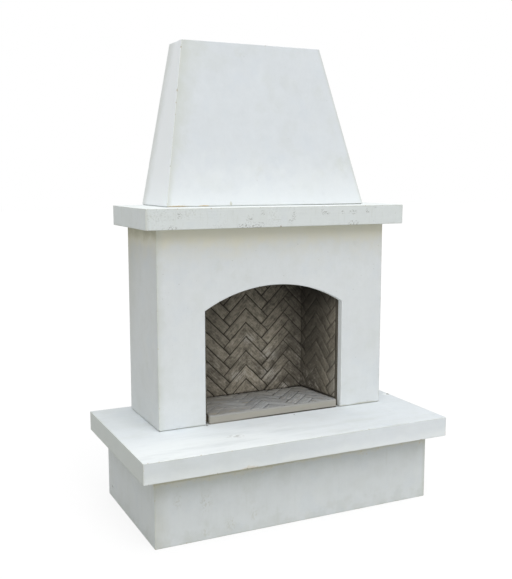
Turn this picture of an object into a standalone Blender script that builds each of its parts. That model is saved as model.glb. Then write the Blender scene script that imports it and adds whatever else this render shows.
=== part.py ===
"""Free-standing precast outdoor fireplace, in metres, +Z up, front towards -Y.

Five castings stand on each other with mortar beds and dowel pins between them. The body holds a
firebox of cast herringbone panels, a smoke dome in two halves, and a sheet-steel flue to the rim.
The origin is on the ground under the middle of the hearth slab, the widest and deepest casting.
"""

import math

import bmesh
import bpy
from mathutils import Vector
from mathutils.geometry import delaunay_2d_cdt

# Fits and finish
CLEARANCE = 0.0003
OVERRUN = 0.02
JOINT = 0.003
BED_SET_IN = 0.006
ARRIS = 0.003
ARRIS_SEGMENTS = 2
ARRIS_ANGLE = math.radians(30)

# Pedestal
PEDESTAL_WIDTH = 1.636
PEDESTAL_DEPTH = 0.830
PEDESTAL_HEIGHT = 0.3955
PEDESTAL_WALL = 0.050
PEDESTAL_WEB = 0.050
PEDESTAL_BAYS = 3
PEDESTAL_DRAFT = 0.006
LIFTING_HOLE_DIAMETER = 0.020
LIFTING_HOLE_HEIGHT = 0.063
LIFTING_HOLE_SETBACK = 0.077

# Hearth slab, whose centre lies to the left of the castings under and over it
HEARTH_WIDTH = 1.764
HEARTH_DEPTH = 0.975
HEARTH_THICKNESS = 0.1072
HEARTH_SHIFT = 0.036

# Drip groove under the edges of the two slabs
DRIP_SETBACK = 0.012
DRIP_WIDTH = 0.008
DRIP_DEPTH = 0.005

# Surround and its opening
SURROUND_WIDTH = 1.378
SURROUND_DEPTH = 0.490
SURROUND_HEIGHT = 1.0587
SURROUND_SETBACK = 0.051
FRONT_WALL = 0.040
SIDE_WALL = 0.045
BACK_WALL = 0.045
OPENING_WIDTH = 0.8455
SPRING_HEIGHT = 0.6213
ARCH_RISE = 0.119
ARCH_SEGMENTS = 32

# Mantel slab
MANTEL_WIDTH = 1.540
MANTEL_PROJECTION = 0.0825
MANTEL_THICKNESS = 0.108

# Chimney hood: the back is upright, the front and the sides lean in
HOOD_BASE_WIDTH = 1.203
HOOD_TOP_WIDTH = 0.853
HOOD_BASE_DEPTH = 0.412
HOOD_TOP_DEPTH = 0.1925
HOOD_HEIGHT = 0.888
HOOD_WALL = 0.040

# Firebox panels
PANEL_THICKNESS = 0.045
JAMB_LAP = 0.0217
FIREBOX_SPLAY = 0.040
FIREBOX_HEIGHT = 0.720
FLOOR_THICKNESS = 0.0466
FLOOR_SETBACK = 0.007
FLOOR_GAP = 0.006
INSULATION = 0.025

# Herringbone relief: brick sizes are from joint middle to joint middle
# The apex of a chevron is placed from its panel's middle and the firebox floor
BRICK_LENGTH = 0.2064
BRICK_WIDTH = 0.0603
GROOVE_WIDTH = 0.0052
GROOVE_FLOOR = 0.0022
GROOVE_DEPTH = 0.0035
BACK_APEX_LEFT = 0.011
SIDE_APEX_REAR = 0.017
SIDE_APEX_DROP = 0.0257
SHORTEST_EDGE = 0.010
SNAP = 0.00001

# Lintel angle and smoke dome
LINTEL_LEG = 0.060
LINTEL_GAUGE = 0.006
DOME_WALL = 0.035
DOME_JOINT = 0.002
DOME_BACK_GAP = 0.003

# Flue
FLUE_WIDTH = 0.700
FLUE_DEPTH = 0.170
FLUE_GAUGE = 0.003
FLUE_ROOM = 0.006
FLANGE_WIDTH = 0.020
LINER_ROOM = 0.008
LINER_DROP = 0.060

# Spark screen
SCREEN_BORDER = 0.0335
SCREEN_FRAME_GAUGE = 0.004
SCREEN_FRAME_ROOM = 0.001
SCREEN_GAUGE = 0.0025
SCREEN_PITCH = 0.025
SCREEN_BAR = 0.004
SCREW_SPACING = 0.060
SCREW_DIAMETER = 0.005
SCREW_HEAD_DIAMETER = 0.011
SCREW_HEAD_HEIGHT = 0.003
ROUND_SEGMENTS = 16

# Dowel pins across the joints
PIN_DIAMETER = 0.012
PIN_LENGTH = 0.090
PIN_CHAMFER = 0.0015

# Plan: the middle line, the back and the front face of the castings over the hearth slab
STACK_X = HEARTH_SHIFT
HEARTH_BACK = HEARTH_DEPTH / 2
STACK_BACK = HEARTH_BACK - SURROUND_SETBACK
FACE = STACK_BACK - SURROUND_DEPTH
WALL_BACK = FACE + FRONT_WALL

# Levels, from the ground up
HEARTH_FOOT = PEDESTAL_HEIGHT + JOINT
HEARTH_TOP = HEARTH_FOOT + HEARTH_THICKNESS
SURROUND_FOOT = HEARTH_TOP + JOINT
SURROUND_TOP = SURROUND_FOOT + SURROUND_HEIGHT
MANTEL_FOOT = SURROUND_TOP + JOINT
MANTEL_TOP = MANTEL_FOOT + MANTEL_THICKNESS
HOOD_FOOT = MANTEL_TOP + JOINT
HOOD_TOP = HOOD_FOOT + HOOD_HEIGHT

# Firebox: half widths between the brick faces, the brick face of the back panel, and levels
FRONT_HALF = OPENING_WIDTH / 2 - JAMB_LAP
BACK_HALF = FRONT_HALF - FIREBOX_SPLAY
INSULATION_BACK = STACK_BACK - BACK_WALL - CLEARANCE
PANEL_BACK = INSULATION_BACK - INSULATION - CLEARANCE
FIREBACK = PANEL_BACK - PANEL_THICKNESS
PANEL_FOOT = HEARTH_TOP + CLEARANCE
FLOOR_LEVEL = PANEL_FOOT + FLOOR_THICKNESS
PANEL_TOP = FLOOR_LEVEL + FIREBOX_HEIGHT

# Smoke dome
LINTEL_FOOT = PANEL_TOP + CLEARANCE
DOME_FOOT = LINTEL_FOOT + LINTEL_GAUGE + CLEARANCE
DOME_TOP = MANTEL_FOOT - CLEARANCE
DOME_HALF = (FRONT_HALF + BACK_HALF) / 2
DOME_FRONT = WALL_BACK + 2 * CLEARANCE + LINTEL_GAUGE + DOME_WALL

# Flue: inside faces of the collar, and the top of the liner
FLUE_BACK = STACK_BACK - BACK_WALL - DOME_BACK_GAP - DOME_WALL - FLUE_ROOM - FLUE_GAUGE
FLUE_FRONT = FLUE_BACK - FLUE_DEPTH
FLANGE_FOOT = MANTEL_TOP + CLEARANCE
LINER_FOOT = FLANGE_FOOT + FLUE_GAUGE + CLEARANCE
LINER_TOP = HOOD_TOP - LINER_DROP
HOOD_INSIDE_BACK = STACK_BACK - HOOD_WALL


def finish(name, colour, roughness, metallic=0.0):
    """A plain material of one colour."""
    material = bpy.data.materials.new(name)
    material.use_nodes = True
    shader = material.node_tree.nodes["Principled BSDF"]
    shader.inputs["Base Color"].default_value = (*colour, 1.0)
    shader.inputs["Roughness"].default_value = roughness
    shader.inputs["Metallic"].default_value = metallic
    material.diffuse_color = (*colour, 1.0)
    return material


def add(name, bm, material):
    """Makes the mesh an object, with its faces pointing out."""
    bmesh.ops.recalc_face_normals(bm, faces=bm.faces)
    mesh = bpy.data.meshes.new(name)
    bm.to_mesh(mesh)
    bm.free()
    obj = bpy.data.objects.new(name, mesh)
    bpy.context.scene.collection.objects.link(obj)
    if material:
        mesh.materials.append(material)
    return obj


def cut(obj, name, bm):
    """Takes the shape away from the object with a hidden cutter."""
    cutter = add(f"cutter_{name}", bm, None)
    cutter.hide_render = True
    cutter.display_type = "WIRE"
    modifier = obj.modifiers.new(name, "BOOLEAN")
    modifier.operation = "DIFFERENCE"
    modifier.solver = "EXACT"
    modifier.object = cutter


def ease_arrises(obj):
    """Rounds the outer edges of a casting, before anything is cut from it."""
    bevel = obj.modifiers.new("arrises", "BEVEL")
    bevel.width = ARRIS
    bevel.segments = ARRIS_SEGMENTS
    bevel.limit_method = "ANGLE"
    bevel.angle_limit = ARRIS_ANGLE


def loft(sections):
    """A closed shape through loops of points that all have the same count."""
    bm = bmesh.new()
    rings = [[bm.verts.new(point) for point in section] for section in sections]
    for lower, upper in zip(rings, rings[1:]):
        for here in range(len(lower)):
            after = (here + 1) % len(lower)
            bm.faces.new((lower[here], lower[after], upper[after], upper[here]))
    bm.faces.new(reversed(rings[0]))
    bm.faces.new(rings[-1])
    return bm


def rectangle(left, front, right, back, level):
    return [(left, front, level), (right, front, level), (right, back, level), (left, back, level)]


def centred(half_width, front, back, level):
    """A rectangle about the middle line of the castings."""
    return rectangle(STACK_X - half_width, front, STACK_X + half_width, back, level)


def block(left, front, right, back, foot, top):
    return loft([rectangle(left, front, right, back, foot), rectangle(left, front, right, back, top)])


def stack_block(half_width, front, back, foot, top):
    return loft([centred(half_width, front, back, foot), centred(half_width, front, back, top)])


def plate(outline, foot, top):
    """An upright prism over a plan outline."""
    return loft([[(x, y, level) for x, y in outline] for level in (foot, top)])


def turned(profile, x, y, foot):
    """A round piece on an upright axis, from (height, radius) pairs."""
    sections = []
    for height, radius in profile:
        angles = [2 * math.pi * step / ROUND_SEGMENTS for step in range(ROUND_SEGMENTS)]
        sections.append(
            [(x + radius * math.cos(a), y + radius * math.sin(a), foot + height) for a in angles]
        )
    return loft(sections)


def shade_round(obj):
    obj.data.shade_smooth()
    obj.data.set_sharp_from_angle(angle=ARRIS_ANGLE)


def horseshoe(left, right, open_end, closed_end, width):
    """Plan outline of a band along three sides of a rectangle, open at one end in Y."""
    inner_end = closed_end - math.copysign(width, closed_end - open_end)
    return [
        (left, open_end), (left, closed_end), (right, closed_end), (right, open_end),
        (right - width, open_end), (right - width, inner_end),
        (left + width, inner_end), (left + width, open_end),
    ]


def drip_groove(obj, left, right, front, back, foot):
    """A groove under the front and side edges of a slab, which stops short of the back."""
    band = horseshoe(
        left + DRIP_SETBACK, right - DRIP_SETBACK, back - DRIP_SETBACK, front + DRIP_SETBACK, DRIP_WIDTH
    )
    cut(obj, f"{obj.name}_drip", plate(band, foot - OVERRUN, foot + DRIP_DEPTH))


# Castings


def pedestal_bays(draft, foot, top):
    """The hollow bays between the walls and the webs, wider at the foot by the draft."""
    inside = PEDESTAL_WIDTH - 2 * PEDESTAL_WALL
    bay = (inside - (PEDESTAL_BAYS - 1) * PEDESTAL_WEB) / PEDESTAL_BAYS
    front = HEARTH_BACK - PEDESTAL_DEPTH + PEDESTAL_WALL
    back = HEARTH_BACK - PEDESTAL_WALL
    for number in range(PEDESTAL_BAYS):
        left = STACK_X - inside / 2 + number * (bay + PEDESTAL_WEB)
        lower = rectangle(left - draft, front - draft, left + bay + draft, back + draft, foot)
        yield loft([lower, rectangle(left, front, left + bay, back, top)])


def make_pedestal(concrete):
    half = PEDESTAL_WIDTH / 2
    pedestal = add(
        "pedestal",
        stack_block(half, HEARTH_BACK - PEDESTAL_DEPTH, HEARTH_BACK, 0, PEDESTAL_HEIGHT),
        concrete,
    )
    ease_arrises(pedestal)
    for number, bay in enumerate(pedestal_bays(PEDESTAL_DRAFT, -OVERRUN, PEDESTAL_HEIGHT + OVERRUN)):
        cut(pedestal, f"pedestal_bay_{number + 1}", bay)
    radius = LIFTING_HOLE_DIAMETER / 2
    angles = [2 * math.pi * step / ROUND_SEGMENTS for step in range(ROUND_SEGMENTS)]
    for side, name in ((-1, "left"), (1, "right")):
        circle = [
            (
                HEARTH_BACK - LIFTING_HOLE_SETBACK + radius * math.cos(a),
                LIFTING_HOLE_HEIGHT + radius * math.sin(a),
            )
            for a in angles
        ]
        ends = (STACK_X + side * (half + OVERRUN), STACK_X + side * (half - PEDESTAL_WALL - OVERRUN))
        cut(pedestal, f"lifting_hole_{name}", loft([[(x, y, z) for y, z in circle] for x in ends]))
    return pedestal


def make_hearth_slab(concrete):
    half = HEARTH_WIDTH / 2
    slab = add(
        "hearth_slab", block(-half, -HEARTH_BACK, half, HEARTH_BACK, HEARTH_FOOT, HEARTH_TOP), concrete
    )
    ease_arrises(slab)
    drip_groove(slab, -half, half, -HEARTH_BACK, HEARTH_BACK, HEARTH_FOOT)
    return slab


def arch_outline(growth):
    """The opening seen from the front, as (x, z) points, made larger all round by the growth."""
    half = OPENING_WIDTH / 2
    radius = (half**2 + ARCH_RISE**2) / (2 * ARCH_RISE)
    centre = SURROUND_FOOT + SPRING_HEIGHT + ARCH_RISE - radius
    reach = half + growth
    sweep = math.asin(reach / (radius + growth))
    points = [(STACK_X + reach, SURROUND_FOOT - OVERRUN)]
    for step in range(ARCH_SEGMENTS + 1):
        angle = sweep * (1 - 2 * step / ARCH_SEGMENTS)
        points.append(
            (
                STACK_X + (radius + growth) * math.sin(angle),
                centre + (radius + growth) * math.cos(angle),
            )
        )
    points.append((STACK_X - reach, SURROUND_FOOT - OVERRUN))
    return points


def make_surround(concrete):
    half = SURROUND_WIDTH / 2
    surround = add("surround", stack_block(half, FACE, STACK_BACK, SURROUND_FOOT, SURROUND_TOP), concrete)
    ease_arrises(surround)
    hollow = stack_block(
        half - SIDE_WALL, WALL_BACK, STACK_BACK - BACK_WALL, SURROUND_FOOT - OVERRUN, SURROUND_TOP + OVERRUN
    )
    cut(surround, "surround_hollow", hollow)
    stations = (
        (FACE - OVERRUN, ARRIS),
        (FACE, ARRIS),
        (FACE + ARRIS, 0),
        (WALL_BACK + OVERRUN, 0),
    )
    opening = loft([[(x, y, z) for x, z in arch_outline(growth)] for y, growth in stations])
    cut(surround, "opening", opening)
    return surround


def make_mantel(concrete):
    half = MANTEL_WIDTH / 2
    front = FACE - MANTEL_PROJECTION
    mantel = add("mantel", stack_block(half, front, STACK_BACK, MANTEL_FOOT, MANTEL_TOP), concrete)
    ease_arrises(mantel)
    drip_groove(mantel, STACK_X - half, STACK_X + half, front, STACK_BACK, MANTEL_FOOT)
    margin = FLUE_GAUGE + FLUE_ROOM
    hole = stack_block(
        FLUE_WIDTH / 2 + margin,
        FLUE_FRONT - margin,
        FLUE_BACK + margin,
        MANTEL_FOOT - OVERRUN,
        MANTEL_TOP + OVERRUN,
    )
    cut(mantel, "mantel_flue", hole)
    return mantel


def hood_section(level, wall):
    """The hood's plan at a level, taken in by the wall on every side."""
    share = (level - HOOD_FOOT) / HOOD_HEIGHT
    half = (HOOD_BASE_WIDTH + share * (HOOD_TOP_WIDTH - HOOD_BASE_WIDTH)) / 2
    depth = HOOD_BASE_DEPTH + share * (HOOD_TOP_DEPTH - HOOD_BASE_DEPTH)
    return centred(half - wall, STACK_BACK - depth + wall, STACK_BACK - wall, level)


def make_chimney_hood(concrete):
    hood = add(
        "chimney_hood", loft([hood_section(HOOD_FOOT, 0), hood_section(HOOD_TOP, 0)]), concrete
    )
    ease_arrises(hood)
    levels = (HOOD_FOOT - OVERRUN, HOOD_TOP + OVERRUN)
    cut(hood, "hood_hollow", loft([hood_section(level, HOOD_WALL) for level in levels]))
    return hood


# Mortar beds


def bed_levels(joint_foot, joint_top):
    return joint_foot + CLEARANCE, joint_top - CLEARANCE


def make_pedestal_bed(mortar):
    foot, top = bed_levels(PEDESTAL_HEIGHT, HEARTH_FOOT)
    outer = stack_block(
        PEDESTAL_WIDTH / 2 - BED_SET_IN,
        HEARTH_BACK - PEDESTAL_DEPTH + BED_SET_IN,
        HEARTH_BACK - BED_SET_IN,
        foot,
        top,
    )
    bed = add("pedestal_bed", outer, mortar)
    for number, bay in enumerate(pedestal_bays(0, foot - OVERRUN, top + OVERRUN)):
        cut(bed, f"pedestal_bed_bay_{number + 1}", bay)
    return bed


def make_surround_bed(mortar):
    """Runs under the four walls and stops at the jambs of the opening."""
    foot, top = bed_levels(HEARTH_TOP, SURROUND_FOOT)
    half = SURROUND_WIDTH / 2
    outer = half - BED_SET_IN
    inner = half - SIDE_WALL
    jamb = OPENING_WIDTH / 2 + BED_SET_IN
    front = FACE + BED_SET_IN
    back = STACK_BACK - BED_SET_IN
    inner_back = STACK_BACK - BACK_WALL
    right_side = [(jamb, front), (outer, front), (outer, back)]
    right_inside = [(inner, inner_back), (inner, WALL_BACK), (jamb, WALL_BACK)]
    outline = [(STACK_X + x, y) for x, y in right_side]
    outline += [(STACK_X - x, y) for x, y in reversed(right_side)]
    outline += [(STACK_X - x, y) for x, y in reversed(right_inside)]
    outline += [(STACK_X + x, y) for x, y in right_inside]
    return add("surround_bed", plate(outline, foot, top), mortar)


def make_mantel_bed(mortar):
    foot, top = bed_levels(SURROUND_TOP, MANTEL_FOOT)
    half = SURROUND_WIDTH / 2
    outer = stack_block(half - BED_SET_IN, FACE + BED_SET_IN, STACK_BACK - BED_SET_IN, foot, top)
    bed = add("mantel_bed", outer, mortar)
    hollow = stack_block(half - SIDE_WALL, WALL_BACK, STACK_BACK - BACK_WALL, foot - OVERRUN, top + OVERRUN)
    cut(bed, "mantel_bed_hollow", hollow)
    return bed


def make_hood_bed(mortar):
    foot, top = bed_levels(MANTEL_TOP, HOOD_FOOT)
    half = HOOD_BASE_WIDTH / 2
    front = STACK_BACK - HOOD_BASE_DEPTH
    outer = stack_block(half - BED_SET_IN, front + BED_SET_IN, STACK_BACK - BED_SET_IN, foot, top)
    bed = add("hood_bed", outer, mortar)
    inner_front = front + HOOD_WALL
    hollow = stack_block(half - HOOD_WALL, inner_front, HOOD_INSIDE_BACK, foot - OVERRUN, top + OVERRUN)
    cut(bed, "hood_bed_hollow", hollow)
    return bed


def make_dome_bed(mortar):
    """Packs the dome on the side and back panels to the level of the lintel angle's leg."""
    outer = DOME_HALF + DOME_WALL
    front = WALL_BACK + CLEARANCE + LINTEL_LEG + CLEARANCE
    outline = horseshoe(STACK_X - outer, STACK_X + outer, front, FIREBACK + DOME_WALL, DOME_WALL)
    return add("dome_bed", plate(outline, LINTEL_FOOT, LINTEL_FOOT + LINTEL_GAUGE), mortar)


# Herringbone panels


def clip(polygon, normal, distance):
    """What is left of a convex polygon on the side of a line that its normal points to."""
    kept = []
    for start, end in zip(polygon, polygon[1:] + polygon[:1]):
        before = start.dot(normal) - distance
        after = end.dot(normal) - distance
        if before >= 0:
            kept.append(start)
        if before * after < 0:
            kept.append(start.lerp(end, before / (before - after)))
    return kept


def inward_normals(polygon):
    """One unit normal for each edge of a polygon that runs counterclockwise."""
    edges = [end - start for start, end in zip(polygon, polygon[1:] + polygon[:1])]
    return [Vector((-edge.y, edge.x)).normalized() for edge in edges]


def clip_to(polygon, outline):
    for corner, normal in zip(outline, inward_normals(outline)):
        polygon = clip(polygon, normal, corner.dot(normal))
    return polygon


def counterclockwise(polygon):
    area = sum(a.cross(b) for a, b in zip(polygon, polygon[1:] + polygon[:1]))
    return polygon if area > 0 else polygon[::-1]


def on_centre_line(*corners):
    return all(abs(corner.x) < SNAP for corner in corners)


def without_short_edges(polygon):
    """Closes up each edge that is too short to take a chamfer."""
    kept = list(polygon)
    here = 0
    while here < len(kept):
        after = (here + 1) % len(kept)
        if (kept[after] - kept[here]).length < SHORTEST_EDGE:
            kept[here] = (kept[here] + kept[after]) / 2
            del kept[after]
        else:
            here += 1
    return kept


def inset(polygon, margin):
    """Moves every edge in by the margin, but none that lies on the centre line."""
    normals = inward_normals(polygon)
    ends = polygon[1:] + polygon[:1]
    margins = [0 if on_centre_line(start, end) else margin for start, end in zip(polygon, ends)]
    moved = []
    for here, corner in enumerate(polygon):
        first, second = normals[here - 1], normals[here]
        slide = Vector((second.y, -second.x)) * margins[here - 1]
        slide += Vector((-first.y, first.x)) * margins[here]
        moved.append(corner + slide / first.cross(second))
    return moved


def brick_cells(reach, low, high):
    """Whole brick outlines right of the centre line, in joint middles, from below low to above high.

    The first brick of a course is mitred at the centre line, where it runs on into its mirror
    image as a chevron. Past it, each brick's end lies against the long side of the next, which
    points up and down in turn.
    """
    run = BRICK_LENGTH / math.sqrt(2)
    rise = BRICK_WIDTH / math.sqrt(2)
    down = Vector((1, -1))
    up = Vector((1, 1))
    course = 2 * rise
    for number in range(math.floor(low / course), math.ceil((high + run) / course) + 2):
        apex = Vector((0, number * course))
        end = apex + down * run
        corner = end - up * rise
        yield [apex, end, corner, apex - Vector((0, course))]
        while corner.x < reach:
            for along, across in ((up, down), (down, up)):
                tip = corner + along * run
                yield [corner, tip, tip + across * rise, corner + across * rise]
                corner = tip


def brick_outlines(band):
    """The foot of each brick's sides, at the floor of the grooves, inside the band with relief."""
    reach = max(abs(corner.x) for corner in band)
    low = min(corner.y for corner in band)
    high = max(corner.y for corner in band)
    for cell in brick_cells(reach, low, high):
        for mirror in (1, -1):
            piece = counterclockwise([Vector((corner.x * mirror, corner.y)) for corner in cell])
            piece = without_short_edges(clip_to(piece, band))
            if len(piece) > 2:
                yield inset(piece, GROOVE_FLOOR / 2)


def raise_brick(bm, outline, feet, centre_tops, place):
    """Raises a brick from its foot in the groove, with battered sides.

    Halves of a chevron share their vertices on the centre line and have no side there.
    """
    tops = []
    for foot, corner in zip(feet, inset(outline, (GROOVE_WIDTH - GROOVE_FLOOR) / 2)):
        vertex = centre_tops.get(foot) or bm.verts.new(place(corner.x, corner.y, 0))
        if on_centre_line(corner):
            centre_tops[foot] = vertex
        tops.append(vertex)
    for here in range(len(outline)):
        after = (here + 1) % len(outline)
        if not on_centre_line(outline[here], outline[after]):
            bm.faces.new((feet[here], feet[after], tops[after], tops[here]))
    bm.faces.new(tops)


def relief_panel(name, outline, rear, band, apex, thickness, place, material):
    """A cast panel with raised bricks.

    The outline, its rear corners, the band that has relief and the apex of a chevron are in the
    panel's own coordinates. place turns those and a depth behind the brick faces into a point of
    the fireplace.
    """
    outline, rear, band = ([corner - apex for corner in corners] for corners in (outline, rear, band))

    def put(across, along, depth):
        return place(across + apex.x, along + apex.y, depth)

    points = list(outline)
    loops = [list(range(len(outline)))]
    for brick in brick_outlines(band):
        loops.append(list(range(len(points), len(points) + len(brick))))
        points += brick
    flat, _, cells, sources, _, owners = delaunay_2d_cdt(points, [], loops, 1, SNAP, True)
    bm = bmesh.new()
    grooves = [bm.verts.new(put(point.x, point.y, GROOVE_DEPTH)) for point in flat]
    vertex_of = {index: vertex for vertex, group in zip(grooves, sources) for index in group}
    for cell, owner in zip(cells, owners):
        if len(owner) == 1:
            bm.faces.new([grooves[index] for index in cell])
    centre_tops = {}
    for loop in loops[1:]:
        outline_of_brick = [points[index] for index in loop]
        raise_brick(bm, outline_of_brick, [vertex_of[index] for index in loop], centre_tops, put)
    edge = [vertex_of[index] for index in loops[0]]
    backs = [bm.verts.new(put(corner.x, corner.y, thickness)) for corner in rear]
    for here in range(len(edge)):
        after = (here + 1) % len(edge)
        bm.faces.new((edge[here], edge[after], backs[after], backs[here]))
    bm.faces.new(backs)
    return add(name, bm, material)


def corners_of(left, low, right, high):
    return [Vector(corner) for corner in ((left, low), (right, low), (right, high), (left, high))]


def side_run():
    """Plan of the right side panel's brick face: back corner, direction to the front, length."""
    back = Vector((BACK_HALF, FIREBACK - CLEARANCE))
    front = Vector((FRONT_HALF, WALL_BACK + CLEARANCE))
    return back, (front - back).normalized(), (front - back).length


def side_place(side):
    """Places points of the left or the right side of the firebox, from behind its brick face."""
    back, along, length = side_run()
    outward = Vector((-along.y, along.x))

    def place(across, height, depth):
        point = back + along * (across + length / 2) + outward * depth
        return (STACK_X + side * point.x, point.y, FLOOR_LEVEL + height)

    return place


def side_shear(depth):
    """How far a side panel's ends slide along it by that depth, to stay square to the front."""
    _, along, _ = side_run()
    return -along.x / along.y * depth


def make_side_panel(side, name, refractory):
    _, _, length = side_run()
    shear = side_shear(PANEL_THICKNESS)
    groove_shear = side_shear(GROOVE_DEPTH)
    low, high = -FLOOR_THICKNESS, FIREBOX_HEIGHT
    half = length / 2
    outline = corners_of(groove_shear - half, low, groove_shear + half, high)
    rear = corners_of(shear - half, low, shear + half, high)
    band = corners_of(groove_shear - half, 0, half, high)
    apex = Vector((-SIDE_APEX_REAR, -SIDE_APEX_DROP))
    place = side_place(side)
    return relief_panel(name, outline, rear, band, apex, PANEL_THICKNESS, place, refractory)


def make_back_panel(refractory):
    """Backs the firebox and the rear ends of the side panels."""
    _, along, _ = side_run()
    half = BACK_HALF + PANEL_THICKNESS / -along.y

    def place(across, height, depth):
        return (STACK_X + across, FIREBACK + depth, FLOOR_LEVEL + height)

    outline = corners_of(-half, -FLOOR_THICKNESS, half, FIREBOX_HEIGHT)
    band = corners_of(-half, 0, half, FIREBOX_HEIGHT)
    apex = Vector((-BACK_APEX_LEFT, 0))
    return relief_panel("firebox_back", outline, outline, band, apex, PANEL_THICKNESS, place, refractory)


def floor_half_width(y):
    """Half width of the floor panel at a depth, a gap inside the side panels' brick faces."""
    back, along, _ = side_run()
    return back.x + (y - back.y) * along.x / along.y - FLOOR_GAP


def make_floor_panel(refractory):
    """Lies between the other panels, with its front lip standing in the opening."""
    front = FACE + FLOOR_SETBACK
    back = FIREBACK - FLOOR_GAP

    def place(across, inward, depth):
        return (STACK_X + across, front + inward, FLOOR_LEVEL - depth)

    wide = floor_half_width(front)
    narrow = floor_half_width(back)
    deep = back - front
    outline = [Vector(c) for c in ((-wide, 0), (wide, 0), (narrow, deep), (-narrow, deep))]
    apex = Vector((0, 0))
    return relief_panel(
        "firebox_floor", outline, outline, outline, apex, FLOOR_THICKNESS, place, refractory
    )


# Insulation, lintel and smoke dome


def make_insulation(board):
    _, along, length = side_run()
    half = BACK_HALF + PANEL_THICKNESS / -along.y
    back = stack_block(half, PANEL_BACK + CLEARANCE, INSULATION_BACK, PANEL_FOOT, PANEL_TOP)
    add("insulation_back", back, board)
    inner = PANEL_THICKNESS + CLEARANCE
    outer = inner + INSULATION
    for side, name in ((-1, "insulation_left"), (1, "insulation_right")):
        place = side_place(side)
        sections = []
        for height in (-FLOOR_THICKNESS, FIREBOX_HEIGHT):
            corners = []
            for depth, ends in ((inner, (-1, 1)), (outer, (1, -1))):
                shear = side_shear(depth)
                corners += [place(shear + end * length / 2, height, depth) for end in ends]
            sections.append(corners)
        add(name, loft(sections), board)


def make_lintel_angle(steel):
    """Bears on both side panels, upright leg against the front wall, flat leg under the dome."""
    half = FRONT_HALF + PANEL_THICKNESS
    near = WALL_BACK + CLEARANCE
    profile = [
        (near, LINTEL_FOOT),
        (near + LINTEL_LEG, LINTEL_FOOT),
        (near + LINTEL_LEG, LINTEL_FOOT + LINTEL_GAUGE),
        (near + LINTEL_GAUGE, LINTEL_FOOT + LINTEL_GAUGE),
        (near + LINTEL_GAUGE, LINTEL_FOOT + LINTEL_LEG),
        (near, LINTEL_FOOT + LINTEL_LEG),
    ]
    ends = (STACK_X - half, STACK_X + half)
    return add("lintel_angle", loft([[(x, y, z) for y, z in profile] for x in ends]), steel)


def dome_edges(level, wall):
    """Half width, front and back of the dome's inside at a level, grown by the wall."""
    share = (level - DOME_FOOT) / (DOME_TOP - DOME_FOOT)
    margin = FLUE_GAUGE + FLUE_ROOM
    half = DOME_HALF + share * (FLUE_WIDTH / 2 + margin - DOME_HALF)
    front = DOME_FRONT + share * (FLUE_FRONT - margin - DOME_FRONT)
    back = FIREBACK + share * (FLUE_BACK + margin - FIREBACK)
    return half + wall, front - wall, back + wall


def make_smoke_dome(refractory):
    """Two castings that meet on the middle line and narrow the firebox to the flue."""
    for side, name in ((-1, "smoke_dome_left"), (1, "smoke_dome_right")):
        sections = []
        for level in (DOME_FOOT, DOME_TOP):
            half, front, back = dome_edges(level, DOME_WALL)
            near = STACK_X + side * DOME_JOINT / 2
            sections.append(rectangle(near, front, STACK_X + side * half, back, level))
        casting = add(name, loft(sections), refractory)
        sections = []
        for level in (DOME_FOOT - OVERRUN, DOME_TOP + OVERRUN):
            sections.append(centred(*dome_edges(level, 0), level))
        cut(casting, f"{name}_inside", loft(sections))


# Flue


def make_flue_collar(steel):
    """A sleeve through the mantel, hung by a flange on its top."""
    half = FLUE_WIDTH / 2
    outer = centred_box(half, FLUE_GAUGE)
    flange = centred_box(half, FLUE_GAUGE + FLANGE_WIDTH)
    top = FLANGE_FOOT + FLUE_GAUGE
    sections = [
        centred(*outer, MANTEL_FOOT),
        centred(*outer, FLANGE_FOOT),
        centred(*flange, FLANGE_FOOT),
        centred(*flange, top),
    ]
    collar = add("flue_collar", loft(sections), steel)
    cut(collar, "collar_bore", stack_block(*centred_box(half, 0), MANTEL_FOOT - OVERRUN, top + OVERRUN))
    return collar


def centred_box(half, growth):
    """Half width, front and back of the flue at the mantel, grown on every side."""
    return half + growth, FLUE_FRONT - growth, FLUE_BACK + growth


def liner_box(level, growth):
    """Half width, front and back of the liner's inside at a level, grown on every side."""
    share = (level - LINER_FOOT) / (LINER_TOP - LINER_FOOT)
    top_half = HOOD_TOP_WIDTH / 2 - HOOD_WALL - SCREEN_BORDER - FLUE_GAUGE
    top_front = STACK_BACK - HOOD_TOP_DEPTH + HOOD_WALL + LINER_ROOM + FLUE_GAUGE
    top_back = HOOD_INSIDE_BACK - LINER_ROOM - FLUE_GAUGE
    half = FLUE_WIDTH / 2 + share * (top_half - FLUE_WIDTH / 2)
    front = FLUE_FRONT + share * (top_front - FLUE_FRONT)
    back = FLUE_BACK + share * (top_back - FLUE_BACK)
    return half + growth, front - growth, back + growth


def make_flue_liner(steel):
    """A folded sheet duct that stands on the collar's flange and flattens towards the rim."""
    levels = (LINER_FOOT, LINER_TOP)
    liner = add("flue_liner", loft([centred(*liner_box(z, FLUE_GAUGE), z) for z in levels]), steel)
    beyond = (LINER_FOOT - OVERRUN, LINER_TOP + OVERRUN)
    cut(liner, "liner_bore", loft([centred(*liner_box(z, 0), z) for z in beyond]))
    return liner


def screen_frame_box():
    """Half width, front and back of the screen frame, which drops in from the rim."""
    half = HOOD_TOP_WIDTH / 2 - HOOD_WALL - SCREEN_FRAME_ROOM
    front = STACK_BACK - HOOD_TOP_DEPTH + HOOD_WALL + SCREEN_FRAME_ROOM
    return half, front, HOOD_INSIDE_BACK - SCREEN_FRAME_ROOM


def screw_places():
    frame_half, front, back = screen_frame_box()
    inner_half = liner_box(LINER_TOP, 0)[0]
    x = (frame_half + inner_half) / 2
    middle = (front + back) / 2
    for side in (-1, 1):
        for end in (-1, 1):
            yield STACK_X + side * x, middle + end * SCREW_SPACING / 2


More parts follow.
